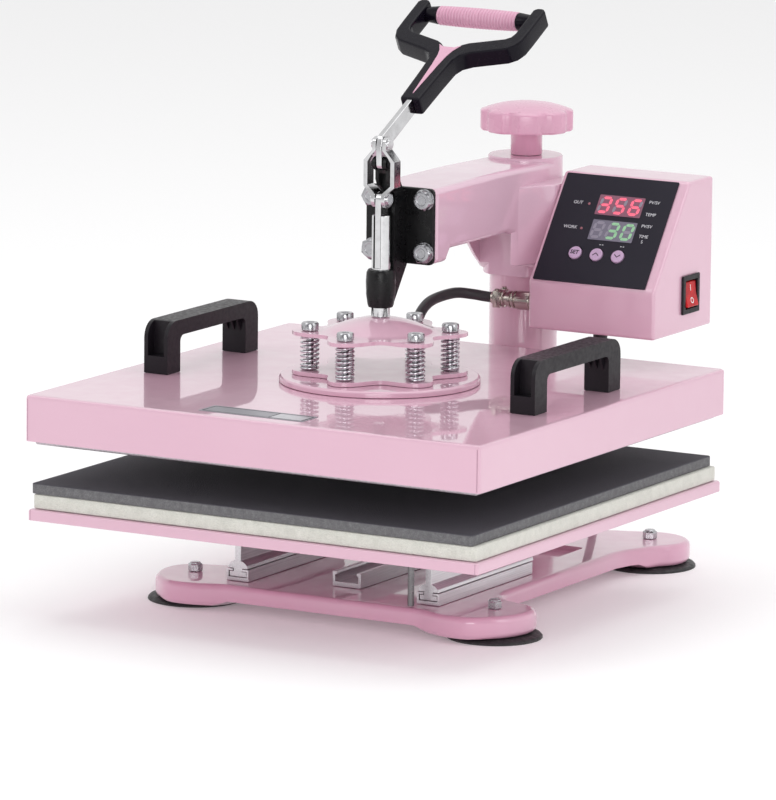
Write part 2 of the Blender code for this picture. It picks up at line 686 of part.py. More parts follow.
def button_cutters(target, radius, out):
    for x in BUTTONS.values():
        hole = cylinder("button_hole", (0, 0, 0), radius, 0.012, None, sides=20)
        hole.matrix_world = slant_frame(x, BUTTON_ALONG, out)
        boolean(target, hole)


def box_outline(inset):
    """Side view of the box; inset moves every edge inwards."""
    run, rise = BOX_SLANT, BOX_Z1 - BOX_Z0 - BOX_STRIP
    lean = math.atan2(run, rise)
    corner = inset * math.tan(lean / 2)
    top = inset * math.tan((math.pi / 2 - lean) / 2)
    return [
        (BOX_Y0 + inset, BOX_Z0 + inset), (BOX_Y1 - inset, BOX_Z0 + inset),
        (BOX_Y1 - inset, BOX_Z1 - inset), (BOX_Y0 + run + top, BOX_Z1 - inset),
        (BOX_Y0 + inset, BOX_Z0 + BOX_STRIP - corner),
    ]


def make_control_box():
    shell = outline_solid("control_box", box_outline(0), BOX_X0, BOX_X1, "pink_paint", "YZ")
    bevel(shell, 0.0028, 3, 30)
    boolean(shell, outline_solid("box_hollow", box_outline(BOX_WALL), BOX_X0 + BOX_WALL,
                                 BOX_X1 - BOX_WALL, None, "YZ"))
    for i in range(5):
        z = BOX_Z0 + 0.030 + 0.012 * i
        slot = box("vent", (BOX_X0 + 0.030, BOX_Y1 - 0.006, z), (BOX_X1 - 0.030, BOX_Y1 + 0.006, z + 0.003),
                   None)
        boolean(shell, slot)
    button_cutters(shell, 0.0062, 0.0)
    y, z = PRESS_Y + 0.2088, 0.2278
    opening = box("switch_opening", (BOX_X1 - 0.006, y - 0.0120, z - 0.0132),
                  (BOX_X1 + 0.006, y + 0.0120, z + 0.0132), None)
    boolean(shell, opening)
    boolean(shell, cylinder("gland_hole", (0.0760, PRESS_Y + 0.2150, BOX_Z0), 0.0056, 0.02, None, sides=16))
    boolean(shell, cylinder("socket_hole", (BOX_X0, PRESS_Y + 0.165, 0.2174), 0.0063, 0.02, None, "X", 16))
    return shell


def make_panel():
    film = outline_solid("control_panel", rounded_rect(0.0038, 0.0006, 0.1020, 0.0952, 0.0010, 3),
                         0, 0.0008, "panel_film", matrix=slant_frame(0, 0, GAP + 0.0004))
    button_cutters(film, 0.0060, 0.0)
    return film


def make_button(name, x):
    button = turned(name, (0, 0, 0), [
        (0, 0.0024), (0.0046, 0.0024), (0.0054, 0.0018), (0.0054, -0.0040), (0, -0.0040),
    ], "lilac_button", steps=24)
    button.matrix_world = slant_frame(x, BUTTON_ALONG)
    return button


def make_switch():
    """A rocker switch in the box's right wall."""
    y, z = PRESS_Y + 0.2088, 0.2278
    x = BOX_X1
    frame = box("switch_bezel", (x + GAP, y - 0.0140, z - 0.0152), (x + 0.0022, y + 0.0140, z + 0.0152),
                "black_plastic", 0.0007)
    body = box("switch_body", (x - 0.0180, y - 0.0115, z - 0.0128),
               (x + 0.0012, y + 0.0115, z + 0.0128), None)
    boolean(frame, body, "UNION")
    well = box("switch_well", (x - 0.0120, y - 0.0098, z - 0.0112),
               (x + 0.0060, y + 0.0098, z + 0.0112), None)
    boolean(frame, well)
    pivot_x = x - 0.0010
    wide = [(x + 0.0040, z - 0.0098), (x + 0.0014, z), (x + 0.0006, z + 0.0098)]
    deep = [(x - 0.0058, z + 0.0092), (x - 0.0070, z), (x - 0.0040, z - 0.0096)]
    rocker = outline_solid("rocker", wide + deep, y - 0.0094, y + 0.0094, "red_rocker", "XZ")
    bevel(rocker, 0.0006, 1, 40)
    hold(axis_empty("rocker_axis", (pivot_x, y, z)), rocker)
    return frame, rocker


def make_connector():
    """A screwed cable plug in its panel socket, on the left wall of the box."""
    x = BOX_X0
    return turned("heater_connector", (0, PRESS_Y + 0.165, 0.2174), [
        (0, x + 0.0100), (0.0056, x + 0.0100), (0.0056, x - GAP), (0.0090, x - GAP),
        (0.0090, x - 0.0130), (0.0078, x - 0.0136), (0.0078, x - 0.0265), (0.0070, x - 0.0270),
        (0.0070, x - 0.0330), (0.0058, x - 0.0336), (0.0058, x - 0.0396), (0, x - 0.0396),
    ], "nickel", steps=24, axis="X")


def make_gland():
    """The strain relief in the box's floor, tapered along the mains cord."""
    return turned("cord_gland", (0.0760, PRESS_Y + 0.2150, 0), [
        (0.0039, BOX_Z0 + 0.0060), (0.0052, BOX_Z0 + 0.0060), (0.0052, BOX_Z0 - GAP),
        (0.0080, BOX_Z0 - GAP), (0.0080, BOX_Z0 - 0.0028), (0.0062, BOX_Z0 - 0.0036),
        (0.0049, BOX_Z0 - 0.0240), (0.0039, BOX_Z0 - 0.0240),
    ], "rubber", steps=20, closed=True)


# ---------------------------------------------------------------- mains cord
CORD_TURN_Z = 0.0860         # below this the cord stays with the base, above it turns with the arm
CORD_DROP = [
    (0.0760, 0.2150, BOX_Z0 + 0.0040), (0.0760, 0.2150, BOX_Z0 - 0.0130),
    (0.0760, 0.2150, BOX_Z0 - 0.0270), (0.0735, 0.2165, 0.1580), (0.0660, 0.2205, 0.1440),
    (0.0570, 0.2265, 0.1290), (0.0510, 0.2320, 0.1100), (0.0490, 0.2359, CORD_TURN_Z + 0.0013),
]
CORD_FLOOR = [
    (0.0490, 0.2361, CORD_TURN_Z - 2 * GAP), (0.0485, 0.2420, 0.0640), (0.0470, 0.2540, 0.0440),
    (0.0430, 0.2700, 0.0270), (0.0350, 0.2830, 0.0130), (0.0210, 0.2930, 0.0058),
    (0.0020, 0.2985, 0.0038), (-0.0200, 0.3005, 0.0037), (-0.0450, 0.3007, 0.0037),
    (-0.0775, 0.3007, 0.0037),
]


def make_cord():
    half = CORD_DIAMETER / 2
    drop = smooth_path([(x, PRESS_Y + y, z) for x, y, z in CORD_DROP], 0.014)
    floor = smooth_path([(x, PRESS_Y + y, z) for x, y, z in CORD_FLOOR], 0.014)
    hanging = tube("power_cord_drop", drop, half, "cord_sheath")
    lying = tube("power_cord_floor", floor, half, "cord_sheath")
    outer, inner, height = COIL_RADIUS + 0.0071, COIL_RADIUS - 0.0071, 0.0212
    coil = turned("power_cord_coil", (*COIL_CENTRE, 0.0002), [
        (inner + 0.002, height), (outer - 0.002, height), (outer, height - 0.002), (outer, 0.002),
        (outer - 0.002, 0), (inner + 0.002, 0), (inner, 0.002), (inner, height - 0.002),
    ], "cord_sheath", steps=32, closed=True)
    return hanging, lying, coil


def make_plug():
    """A moulded mains plug with two flat blades and a round earth pin, beside the coil."""
    x, y, z = COIL_CENTRE[0] + 0.0520, COIL_CENTRE[1] + 0.0385, 0.0125
    plug = box("power_plug", (x, y - 0.0130, z - 0.0115), (x + 0.0300, y + 0.0130, z + 0.0115),
               "rubber", 0.004)
    tail = cylinder("plug_tail", (x - 0.0020, y, z), 0.0055, 0.0200, None, "X", 16)
    boolean(plug, tail, "UNION")
    for side in (-1, 1):
        blade = box("blade", (x + 0.0280, y + side * 0.0064 - 0.0008, z - 0.0010),
                    (x + 0.0475, y + side * 0.0064 + 0.0008, z + 0.0053), None)
        boolean(plug, blade, "UNION")
    pin = cylinder("earth_pin", (x + 0.0380, y, z - 0.0065), 0.0024, 0.0210, None, "X", 12)
    boolean(plug, pin, "UNION")
    return plug


# ---------------------------------------------------------------- knob, lever and links
def make_knob():
    count = 96
    outline = []
    for i in range(count):
        angle = 2 * math.pi * i / count
        radius = KNOB_RADIUS - 0.0026 * max(0.0, math.cos(8 * angle)) ** 3
        outline.append((radius * math.cos(angle), COLUMN_Y + radius * math.sin(angle)))
    knob = outline_solid("pressure_knob", outline, KNOB_LOW, KNOB_TOP, "pink_plastic")
    bevel(knob, 0.0030, 2, 60)
    shank = cylinder("knob_shank", (0, COLUMN_Y, 0.3342), 0.0126, 0.0232, None, sides=28)
    boolean(knob, shank, "UNION")
    boolean(knob, cylinder("knob_bore", (0, COLUMN_Y, 0.3240), 0.0083, 0.040, None, sides=20))
    screw = turned("knob_screw", (0, COLUMN_Y, 0), [
        (0, 0.3420), (0.0080, 0.3420), (0.0080, 0.2590), (0.0068, 0.2575), (0, 0.2575),
    ], "steel", steps=20)
    hold(axis_empty("knob_turn_axis", (0, COLUMN_Y, KNOB_LOW)), knob, screw)
    return knob


def make_bush():
    """The flanged bush in the column's mouth that the arm turns on."""
    return turned("swivel_bush", (0, COLUMN_Y, 0), [
        (0.0083, COLUMN_TOP + 0.0060), (0.0250, COLUMN_TOP + 0.0060), (0.0262, COLUMN_TOP + 0.0050),
        (0.0262, COLUMN_TOP + GAP), (0.0234, COLUMN_TOP + GAP), (0.0234, 0.2620), (0.0083, 0.2620),
    ], "steel", steps=32, closed=True)


def lever_axes():
    along = Vector((0, math.sin(LEAN), math.cos(LEAN)))
    across = Vector((0, -math.cos(LEAN), math.sin(LEAN)))
    return along, across


def make_lever_bar():
    along, across = lever_axes()
    root = Vector((0, PRESS_Y, LINK_Z))
    wide = 0.0060

    def point(s, n):
        where = root + along * s + across * n
        return where.y, where.z

    outline = [point(0.0685, wide), point(0.0, wide + 0.0012), (PRESS_Y - 0.0058, 0.3560)]
    outline += arc((PRESS_Y, PIVOT_Z), 0.0052, 180, 360, 9)
    outline += [(PRESS_Y + 0.0060, 0.3520), point(0.0060, -wide), point(0.0685, -wide)]
    bar = outline_solid("lever_bar", outline, -BAR_HALF, BAR_HALF, "chrome", "YZ", 0.0004, 1)
    boolean(bar, cylinder("pivot_hole", (0, PRESS_Y, PIVOT_Z), 0.0032, 0.02, None, "X", 16))
    boolean(bar, cylinder("link_hole", (0, PRESS_Y, LINK_Z), 0.0031, 0.02, None, "X", 16))
    return bar


def make_lever_pin():
    return turned("lever_pin", (0, PRESS_Y, PIVOT_Z), [
        (0, 0.0075), (0.0038, 0.0075), (0.0038, 0.0064), (0.0029, 0.0064), (0.0029, -0.0064),
        (0.0038, -0.0064), (0.0038, -0.0075), (0, -0.0075),
    ], "black_paint", steps=16, axis="X")


def fork_frame(s):
    """On the lever's line: X across the fork, Y along the lever, Z off its broad face."""
    along, across = lever_axes()
    point = Vector((0, PRESS_Y, LINK_Z)) + along * s
    turn = Matrix((Vector((1, 0, 0)), along, across)).transposed().to_4x4()
    return Matrix.Translation(point) @ turn


def make_fork():
    """A forked handle frame that carries the grip between its two horns."""
    half = [
        (0.0086, 0.0500), (0.0096, 0.0850), (0.0106, 0.1040), (0.0135, 0.1105), (0.0205, 0.1150),
        (0.0470, 0.1240), (0.0528, 0.1290), (0.0558, 0.1370), (0.0562, 0.1500), (0.0562, 0.1765),
        (0.0540, 0.1800), (0.0478, 0.1800), (0.0456, 0.1770), (0.0456, 0.1450), (0.0442, 0.1400),
        (0.0405, 0.1370), (0.0135, 0.1280), (0.0090, 0.1250), (0.0055, 0.1212),
    ]
    outline = half + [(-x, s) for x, s in reversed(half)]
    fork = outline_solid("handle_fork", outline, -0.0076, 0.0076, "black_plastic", matrix=fork_frame(0))
    bevel(fork, 0.0020, 2, 40)
    socket = box("fork_socket", (-0.0028, 0.0400, -0.0064), (0.0028, 0.0690, 0.0064), None)
    socket.matrix_world = fork_frame(0) @ socket.matrix_basis
    boolean(fork, socket)
    axle = cylinder("axle_hole", (0, 0, 0), 0.0033, 0.1060, None, "X", 14)
    axle.matrix_world = fork_frame(GRIP_ALONG)
    boolean(fork, axle)
    return fork


def make_grip():
    grip = turned("grip", (0, 0, 0), [
        (0, 0.0525), (0.0030, 0.0525), (0.0030, 0.0452), (0.0063, 0.0452), (0.0063, 0.0350),
        (0.0072, 0.0346), (0.0078, 0.0200), (0.0080, 0.0), (0.0078, -0.0200), (0.0072, -0.0346),
        (0.0063, -0.0350), (0.0063, -0.0452), (0.0030, -0.0452), (0.0030, -0.0525), (0, -0.0525),
    ], "grip_wrap", steps=24)
    grip.matrix_world = fork_frame(GRIP_ALONG) @ Matrix.Rotation(math.pi / 2, 4, "Y")
    return grip


def make_link(name, side):
    """A bowed link plate: narrow at the lever, wide round the ears, narrow at the plunger."""
    inner = [(0.0028, 0.3650), (0.0028, 0.3530), (0.0070, 0.3486), (0.0100, 0.3440), (0.0100, 0.3262),
             (0.0028, 0.3196), (0.0028, 0.3075)]
    outer = [(0.0060, 0.3075), (0.0060, 0.3186), (0.0134, 0.3250), (0.0134, 0.3450),
             (0.0060, 0.3532), (0.0060, 0.3650)]
    outline = [(side * x, z) for x, z in inner + outer]
    link = outline_solid(name, outline, PRESS_Y - 0.0075, PRESS_Y + 0.0075, "chrome", "XZ")
    shape = arc((PRESS_Y, LINK_Z), 0.0056, 20, 160, 8)
    shape += [(PRESS_Y - 0.0050, 0.3480), (PRESS_Y - 0.0050, 0.3240)]
    shape += arc((PRESS_Y, PLUNGER_PIN_Z), 0.0068, 160, 380, 12)
    shape += [(PRESS_Y + 0.0050, 0.3240), (PRESS_Y + 0.0050, 0.3480)]
    boolean(link, outline_solid("link_shape", shape, -0.03, 0.03, None, "YZ"), "INTERSECT")
    rivet = cylinder("rivet_head", (side * 0.0066, PRESS_Y, PLUNGER_PIN_Z), 0.0042, 0.0024, None, "X", 16)
    boolean(link, rivet, "UNION")
    if side > 0:
        pin = turned("link_pin", (0, PRESS_Y, LINK_Z), [
            (0, 0.0076), (0.0042, 0.0076), (0.0042, 0.0056), (0.0028, 0.0050), (0.0028, -0.0063),
            (0.0042, -0.0063), (0.0042, -0.0076), (0, -0.0076),
        ], None, steps=16, axis="X")
        boolean(link, pin, "UNION")
    else:
        boolean(link, cylinder("link_bore", (-0.0044, PRESS_Y, LINK_Z), 0.0031, 0.006, None, "X", 16))
    return link


def make_lever():
    fork = make_fork()
    hold(axis_empty("handle_turn_axis", (0, PRESS_Y, PIVOT_Z)),
         make_lever_bar(), make_lever_pin(), fork, make_grip())
    hold(axis_empty("link_turn_axis", (0, PRESS_Y, LINK_Z)),
         make_link("link_left", -1), make_link("link_right", 1))


# ---------------------------------------------------------------- assembly
def make_stand():
    make_base()
    for name, x, y in (("foot_front_left", -FRONT_FOOT[0], FRONT_FOOT[1]),
                       ("foot_front_right", FRONT_FOOT[0], FRONT_FOOT[1]),
                       ("foot_back_left", -BACK_FOOT[0], BACK_FOOT[1]),
                       ("foot_back_right", BACK_FOOT[0], BACK_FOOT[1])):
        make_foot(name, x, y)
    make_column()
    make_side_rail("rail_left", -RAIL_X)
    make_side_rail("rail_right", RAIL_X)
    make_center_rail()


def make_arm_group():
    arm = make_arm()
    pieces = [make_bracket(), make_control_box(), make_panel(), make_connector(), make_gland()]
    corners = [(side, level) for side in (-0.0225, 0.0225) for level in (0.2722, 0.3130)]
    for i, (x, z) in enumerate(corners):
        pieces.append(make_bracket_bolt(f"bracket_bolt_{i + 1}", x, z))
    pieces.append(box("circuit_board", (BOX_X0 + 0.008, BOX_Y0 + 0.045, BOX_Z0 + 0.0060),
                      (BOX_X1 - 0.026, BOX_Y0 + 0.0466, BOX_Z0 + 0.0740), "board"))
    frame, rocker = make_switch()
    pieces.append(frame)
    hold(axis_empty("arm_swing_axis", (0, COLUMN_Y, COLUMN_TOP)), arm, make_bush(), *pieces)
    for name, x in BUTTONS.items():
        make_button(name, x)
    return rocker


def build():
    global PARTS, CUTTERS
    clear_scene()
    PARTS = new_collection("heat_press")
    CUTTERS = new_collection("cutters")
    make_stand()
    make_drawer()
    make_head()
    make_arm_group()
    make_cord()
    make_plug()
    make_knob()
    make_lever()
    bpy.context.view_layer.update()


build()
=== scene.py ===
"""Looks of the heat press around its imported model: materials, pads, cords, springs and fine detail."""
import math

import bmesh
import bpy
from mathutils import Matrix, Vector, noise


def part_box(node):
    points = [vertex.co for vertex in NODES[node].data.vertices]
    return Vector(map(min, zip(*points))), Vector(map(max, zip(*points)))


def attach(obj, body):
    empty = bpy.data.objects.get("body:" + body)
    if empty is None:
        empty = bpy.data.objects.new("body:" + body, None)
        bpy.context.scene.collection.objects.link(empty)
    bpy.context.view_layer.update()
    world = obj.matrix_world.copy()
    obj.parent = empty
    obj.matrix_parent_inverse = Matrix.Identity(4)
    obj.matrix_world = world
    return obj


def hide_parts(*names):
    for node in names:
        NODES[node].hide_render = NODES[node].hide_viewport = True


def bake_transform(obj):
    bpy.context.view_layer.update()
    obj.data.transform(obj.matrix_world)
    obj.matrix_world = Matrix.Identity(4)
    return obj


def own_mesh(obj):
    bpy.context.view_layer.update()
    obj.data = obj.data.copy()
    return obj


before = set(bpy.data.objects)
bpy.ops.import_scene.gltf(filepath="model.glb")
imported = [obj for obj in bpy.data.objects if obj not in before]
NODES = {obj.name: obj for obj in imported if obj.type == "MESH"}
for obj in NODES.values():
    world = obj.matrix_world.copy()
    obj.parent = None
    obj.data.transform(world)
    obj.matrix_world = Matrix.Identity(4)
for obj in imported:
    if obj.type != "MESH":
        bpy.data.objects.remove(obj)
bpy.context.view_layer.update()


# ---- places, from the frame
def middle(node):
    low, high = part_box(node)
    return (low + high) / 2


PRESS_Y = middle("plunger_rod").y           # the plunger's centre line; x is 0
HEAD_LOW, HEAD_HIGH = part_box("head_housing")
TRAY_LOW, TRAY_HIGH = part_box("lower_tray")
BOX_LOW, BOX_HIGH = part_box("control_box")
BASE_TOP = 0.0215
LINK_Z = 0.3577                             # pin of the links on the lever
LEAN = math.radians(62.0)                   # lean of the lever from the vertical
GRIP_ALONG = 0.17                         # the grip's axle, along the lever from the links' pin
SCREW_CIRCLE = 0.0535                       # pressure springs and their screws
SPRING_LOW = 0.1836
SPRING_HIGH = 0.2102
CORD_DIAMETER = 0.0068
LEAD_DIAMETER = 0.0084
COIL_X = -0.105                             # centre of the mains cord's coil
COIL_Y = PRESS_Y + 0.345


# ---- general helpers
def at(x, y, z):
    return Matrix.Translation((x, y, z))


def spin(angle, axis):
    return Matrix.Rotation(angle, 4, axis)


def facing(point, right, up):
    """At a point, with X to the right, Y up and Z out of the face they span."""
    return at(*point) @ Matrix((right, up, right.cross(up))).transposed().to_4x4()


def mm(points):
    """Points that are given in millimetres."""
    return [tuple(value / 1000 for value in point) for point in points]


def new_object(name, data):
    made = bpy.data.objects.new(name, data)
    bpy.context.scene.collection.objects.link(made)
    return made


def with_settings(thing, settings):
    for key, value in settings.items():
        setattr(thing, key, value)
    return thing


def set_inputs(node, values):
    for name, value in values.items():
        node.inputs[name].default_value = value


def modify(made, name, kind, **settings):
    with_settings(made.modifiers.new(name, kind), settings)


def baked(made):
    """A copy of an object's mesh, its modifiers applied."""
    return bpy.data.meshes.new_from_object(made.evaluated_get(bpy.context.evaluated_depsgraph_get()))


def shade_smooth(mesh):
    for polygon in mesh.polygons:
        polygon.use_smooth = True


# ---- stage, camera and light
CAMERA_PLACE = (2.7958, -4.9688, 1.1758)
YAW, PITCH, ROLL = (math.radians(a) for a in (29.527, -10.171, 0.6285))
FOCAL_LENGTH = 338.9


def clear_defaults():
    for name in ("Cube", "Light", "Camera"):
        found = bpy.data.objects.get(name)
        if found:
            bpy.data.objects.remove(found)


def make_camera():
    data = bpy.data.cameras.new("camera")
    data.lens = FOCAL_LENGTH
    data.clip_end = 100.0
    camera = new_object("camera", data)
    turn = spin(YAW, "Z") @ spin(math.pi / 2 + PITCH, "X") @ spin(ROLL, "Z")
    camera.matrix_world = at(*CAMERA_PLACE) @ turn
    bpy.context.scene.camera = camera


def make_light(name, place, size, power):
    """A soft box that faces the middle of the press."""
    data = bpy.data.lights.new(name, "AREA")
    data.shape = "RECTANGLE"
    data.size, data.size_y = size
    data.energy = power
    turn = (Vector((0, 0, 0.2)) - Vector(place)).to_track_quat("-Z", "Y")
    new_object(name, data).matrix_world = at(*place) @ turn.to_matrix().to_4x4()


def make_world():
    """A white studio that is dimmer behind the photographer, so that metal has something dark to show."""
    world = bpy.data.worlds.new("studio")
    world.use_nodes = True
    tree = world.node_tree
    background = tree.nodes["Background"]
    place = tree.nodes.new("ShaderNodeTexCoord")
    toward = tree.nodes.new("ShaderNodeVectorMath")
    toward.operation = "DOT_PRODUCT"
    toward.inputs[1].default_value = Vector(CAMERA_PLACE).normalized()
    ramp = tree.nodes.new("ShaderNodeValToRGB")
    stops = ((0.34, (1.0, 1.0, 1.0, 1)), (0.92, (0.24, 0.23, 0.25, 1)))
    for element, (position, colour) in zip(ramp.color_ramp.elements, stops):
        element.position, element.color = position, colour
    tree.links.new(place.outputs["Generated"], toward.inputs[0])
    tree.links.new(toward.outputs["Value"], ramp.inputs["Fac"])
    tree.links.new(ramp.outputs["Color"], background.inputs["Color"])
    background.inputs["Strength"].default_value = 0.9
    bpy.context.scene.world = world


def make_stage():
    half = 40.0
    corners = [(-half, -half, 0), (half, -half, 0), (half, half, 0), (-half, half, 0)]
    mesh = bpy.data.meshes.new("studio_floor")
    mesh.from_pydata(corners, [], [(0, 1, 2, 3)])
    paper = Look("floor_paper", (0.88, 0.88, 0.88), 0.9).grain(400, 0.0001)
    set_inputs(paper.shader, {"Emission Color": (1, 1, 1, 1), "Emission Strength": 0.13})
    mesh.materials.append(paper.material)
    new_object("studio_floor", mesh)
    make_light("key", (-1.4, -2.6, 2.3), (1.8, 1.8), 15)
    make_light("fill", (1.5, -2.9, 0.9), (1.6, 1.2), 26)
    make_light("side", (2.8, -0.4, 1.7), (1.2, 1.8), 13)
    make_light("top", (0.1, 0.5, 2.9), (2.6, 2.6), 22)
    make_world()
    view = bpy.context.scene.view_settings
    view.view_transform = "Standard"
    view.look = "None"


# ---- materials
class Look:
    """A Principled material with procedural detail, in metres on the object's own coordinates."""

    def __init__(self, name, colour, roughness, metallic=0.0, **settings):
        self.name = name
        self.material = bpy.data.materials.new(name)
        self.material.use_nodes = True
        self.tree = self.material.node_tree
        self.shader = self.tree.nodes["Principled BSDF"]
        self.place = self.add("ShaderNodeTexCoord").outputs["Object"]
        settings = {key.replace("_", " "): value for key, value in settings.items()}
        set_inputs(self.shader, {"Base Color": (*colour, 1), "Roughness": roughness, "Metallic": metallic,
                                 **settings})

    def add(self, kind, **settings):
        return with_settings(self.tree.nodes.new(kind), settings)

    def join(self, source, target):
        self.tree.links.new(source, target)

    def texture(self, kind, output, inputs, stretch=None, **settings):
        node = self.add(kind, **settings)
        set_inputs(node, inputs)
        place = self.place
        if stretch:
            mapping = self.add("ShaderNodeMapping")
            mapping.inputs["Scale"].default_value = stretch
            self.join(place, mapping.inputs["Vector"])
            place = mapping.outputs["Vector"]
        self.join(place, node.inputs["Vector"])
        return node.outputs[output]

    def noise(self, scale, detail=3.0, stretch=None):
        return self.texture("ShaderNodeTexNoise", "Fac", {"Scale": scale, "Detail": detail}, stretch)

    def cells(self, scale):
        return self.texture("ShaderNodeTexVoronoi", "Distance", {"Scale": scale})

    def bands(self, scale, axis, distortion=0.0):
        return self.texture("ShaderNodeTexWave", "Fac", {"Scale": scale, "Distortion": distortion},
                            bands_direction=axis)

    def source(self, given):
        """A socket as it is, or a noise made from its scale, detail and stretch."""
        return self.noise(*given) if isinstance(given, tuple) else given

    def ranged(self, source, low, high, from_low=0.35, from_high=0.65):
        source = self.source(source)
        node = self.add("ShaderNodeMapRange")
        self.join(source, node.inputs["Value"])
        set_inputs(node, {"From Min": from_low, "From Max": from_high, "To Min": low, "To Max": high})
        return node.outputs["Result"]

    def mix(self, name, factor, value):
        """Mixes what drives the shader's input with a plain value, by factor."""
        socket = self.shader.inputs[name]
        colour = socket.type == "RGBA"
        node = self.add("ShaderNodeMix", data_type="RGBA" if colour else "FLOAT")
        a, b = (s for s in node.inputs if s.name in "AB" and s.type == socket.type)
        out = next(s for s in node.outputs if s.type == socket.type)
        if socket.is_linked:
            self.join(socket.links[0].from_socket, a)
        else:
            a.default_value = socket.default_value
        b.default_value = (*value, 1) if colour else value
        self.join(factor, node.inputs["Factor"])
        self.join(out, socket)
        return self

    def tint(self, source, other, amount=1.0):
        return self.mix("Base Color", self.ranged(source, 0.0, amount), other)

    def roughen(self, source, low, high):
        self.join(self.ranged(source, low, high), self.shader.inputs["Roughness"])
        return self

    def bump(self, source, depth, strength=1.0):
        source = self.source(source)
        node = self.add("ShaderNodeBump")
        set_inputs(node, {"Strength": strength, "Distance": depth})
        self.join(source, node.inputs["Height"])
        normal = self.shader.inputs["Normal"]
        if normal.is_linked:
            self.join(normal.links[0].from_socket, node.inputs["Normal"])
        self.join(node.outputs["Normal"], normal)
        return self

    def grain(self, scale, depth, strength=1.0):
        return self.bump((scale,), depth, strength)

    def above(self, z):
        """1 above that height and 0 below."""
        split = self.add("ShaderNodeSeparateXYZ")
        self.join(self.place, split.inputs["Vector"])
        test = self.add("ShaderNodeMath", operation="GREATER_THAN")
        self.join(split.outputs["Z"], test.inputs[0])
        test.inputs[1].default_value = z
        return test.outputs["Value"]

    def zinc_above(self, z):
        """Zinc plated above that height, for a stud that is one solid with its plate or foot."""
        mask = self.above(z)
        self.mix("Base Color", mask, ZINC)
        self.mix("Metallic", mask, 1.0)
        self.mix("Roughness", mask, 0.28)
        if self.shader.inputs["Coat Weight"].default_value > 0:
            self.mix("Coat Weight", mask, 0.0)
        return self


PINK = (0.7, 0.425, 0.535)
# The deeper pink is the plastic's own colour; as the base plate's paint colour it is painted shade from the
# tray above
PINK_DEEP = (0.7, 0.365, 0.5)
PINK_PALE = (0.745, 0.48, 0.585)
# A lighter pink for the arm's paint: painted light on the side that the control box shades
PINK_PAINTED_LIGHT = (0.78, 0.52, 0.64)
ZINC = (0.5, 0.5, 0.52)


def pink_paint(name="pink_paint", colour=PINK):
    look = Look(name, colour, 0.34, Coat_Weight=1.0, Coat_Roughness=0.03, Coat_IOR=1.6)
    look.tint((7, 2), PINK_PALE, 0.3)
    look.tint((900, 4), PINK_DEEP, 0.12)
    look.roughen((60, 4), 0.3, 0.4)
    return look.grain(420, 0.00003, 0.5)


def pink_plastic(name="pink_plastic", roughness=0.27):
    look = Look(name, PINK_DEEP, roughness, Coat_Weight=0.35, Coat_Roughness=0.12)
    look.tint((30, 3), PINK_PALE, 0.2)
    look.roughen((60, 2), roughness - 0.02, roughness + 0.03)
    return look.grain(900, 0.000002, 0.15)


def black_plastic(name="black_plastic", colour=(0.009, 0.007, 0.01), roughness=0.38, gloss=0.26):
    look = Look(name, colour, roughness, Specular_IOR_Level=gloss)
    look.tint((700, 2), tuple(1.5 * c for c in colour), 0.4)
    look.roughen((320, 4), roughness - 0.07, roughness + 0.1)
    return look.bump(look.cells(1900), 0.00001, 0.5)


def black_enamel():
    look = Look("black_enamel", (0.003, 0.003, 0.0035), 0.26, Specular_IOR_Level=0.3)
    look.tint((600, 3), (0.01, 0.01, 0.011), 0.5)
    look.roughen((160, 3), 0.24, 0.4)
    return look.bump((1100, 2), 0.00014, 0.6)


def plated(name, colour, roughness, spread=0.06, streak=(700, 700, 60), clouds=0.6):
    """Bright or zinc plating: faint polishing streaks and cloudy roughness."""
    look = Look(name, colour, roughness, 1.0)
    dull = tuple(c * 0.8 for c in colour)
    look.tint((110, 4), dull, clouds)
    look.roughen((220, 4), roughness - spread, roughness + spread)
    return look.bump((1, 3, streak), 0.00002, 0.5)


def aluminium():
    look = Look("aluminium", (0.76, 0.75, 0.77), 0.36, 1.0, Anisotropic=0.5)
    look.tint((1, 4, (1400, 14, 1400)), (0.6, 0.59, 0.61), 0.7)
    look.roughen((1, 3, (500, 10, 500)), 0.28, 0.46)
    return look.bump((1, 3, (1100, 9, 1100)), 0.00004, 0.6)


def plate_metal():
    look = Look("plate_metal", (0.58, 0.52, 0.56), 0.42, 0.85)
    look.tint((500, 4), (0.42, 0.38, 0.41), 0.8)
    return look.grain(700, 0.00005)


def felt():
    look = Look("felt", (0.69, 0.685, 0.62), 0.97, Sheen_Weight=0.25, Sheen_Roughness=0.6)
    look.tint((90, 5), (0.8, 0.79, 0.72), 0.7)
    look.tint((1, 6, (900, 900, 2300)), (0.5, 0.5, 0.45), 0.5)
    look.tint(look.cells(170), (0.84, 0.83, 0.78), 0.15)
    look.bump((1, 5, (800, 800, 1800)), 0.0008, 0.8)
    return look.bump(look.cells(420), 0.0003, 0.5)


def foam():
    look = Look("foam_rubber", (0.13, 0.128, 0.134), 0.82)
    look.tint(look.cells(1300), (0.2, 0.198, 0.205), 0.8)
    look.tint((240, 4), (0.09, 0.088, 0.094), 0.5)
    # The top face is painted darker than the sides: painted shade under the head
    top = look.above(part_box("foam_pad")[1].z - 0.0006)
    look.mix("Base Color", top, (0.078, 0.073, 0.088))
    look.bump(look.cells(1300), 0.0003, 0.7)
    return look.bump((500, 4), 0.0001, 0.5)


def rubber():
    look = Look("rubber", (0.016, 0.016, 0.018), 0.55)
    look.tint((80, 4), (0.045, 0.043, 0.044), 0.6)
    look.roughen((300, 4), 0.42, 0.68)
    return look.grain(1200, 0.00008)


def cord_sheath():
    look = Look("cord_sheath", (0.015, 0.014, 0.016), 0.42)
    look.tint((60, 3), (0.032, 0.031, 0.034), 0.6)
    look.roughen((400, 3), 0.34, 0.52)
    return look.grain(1500, 0.00005)


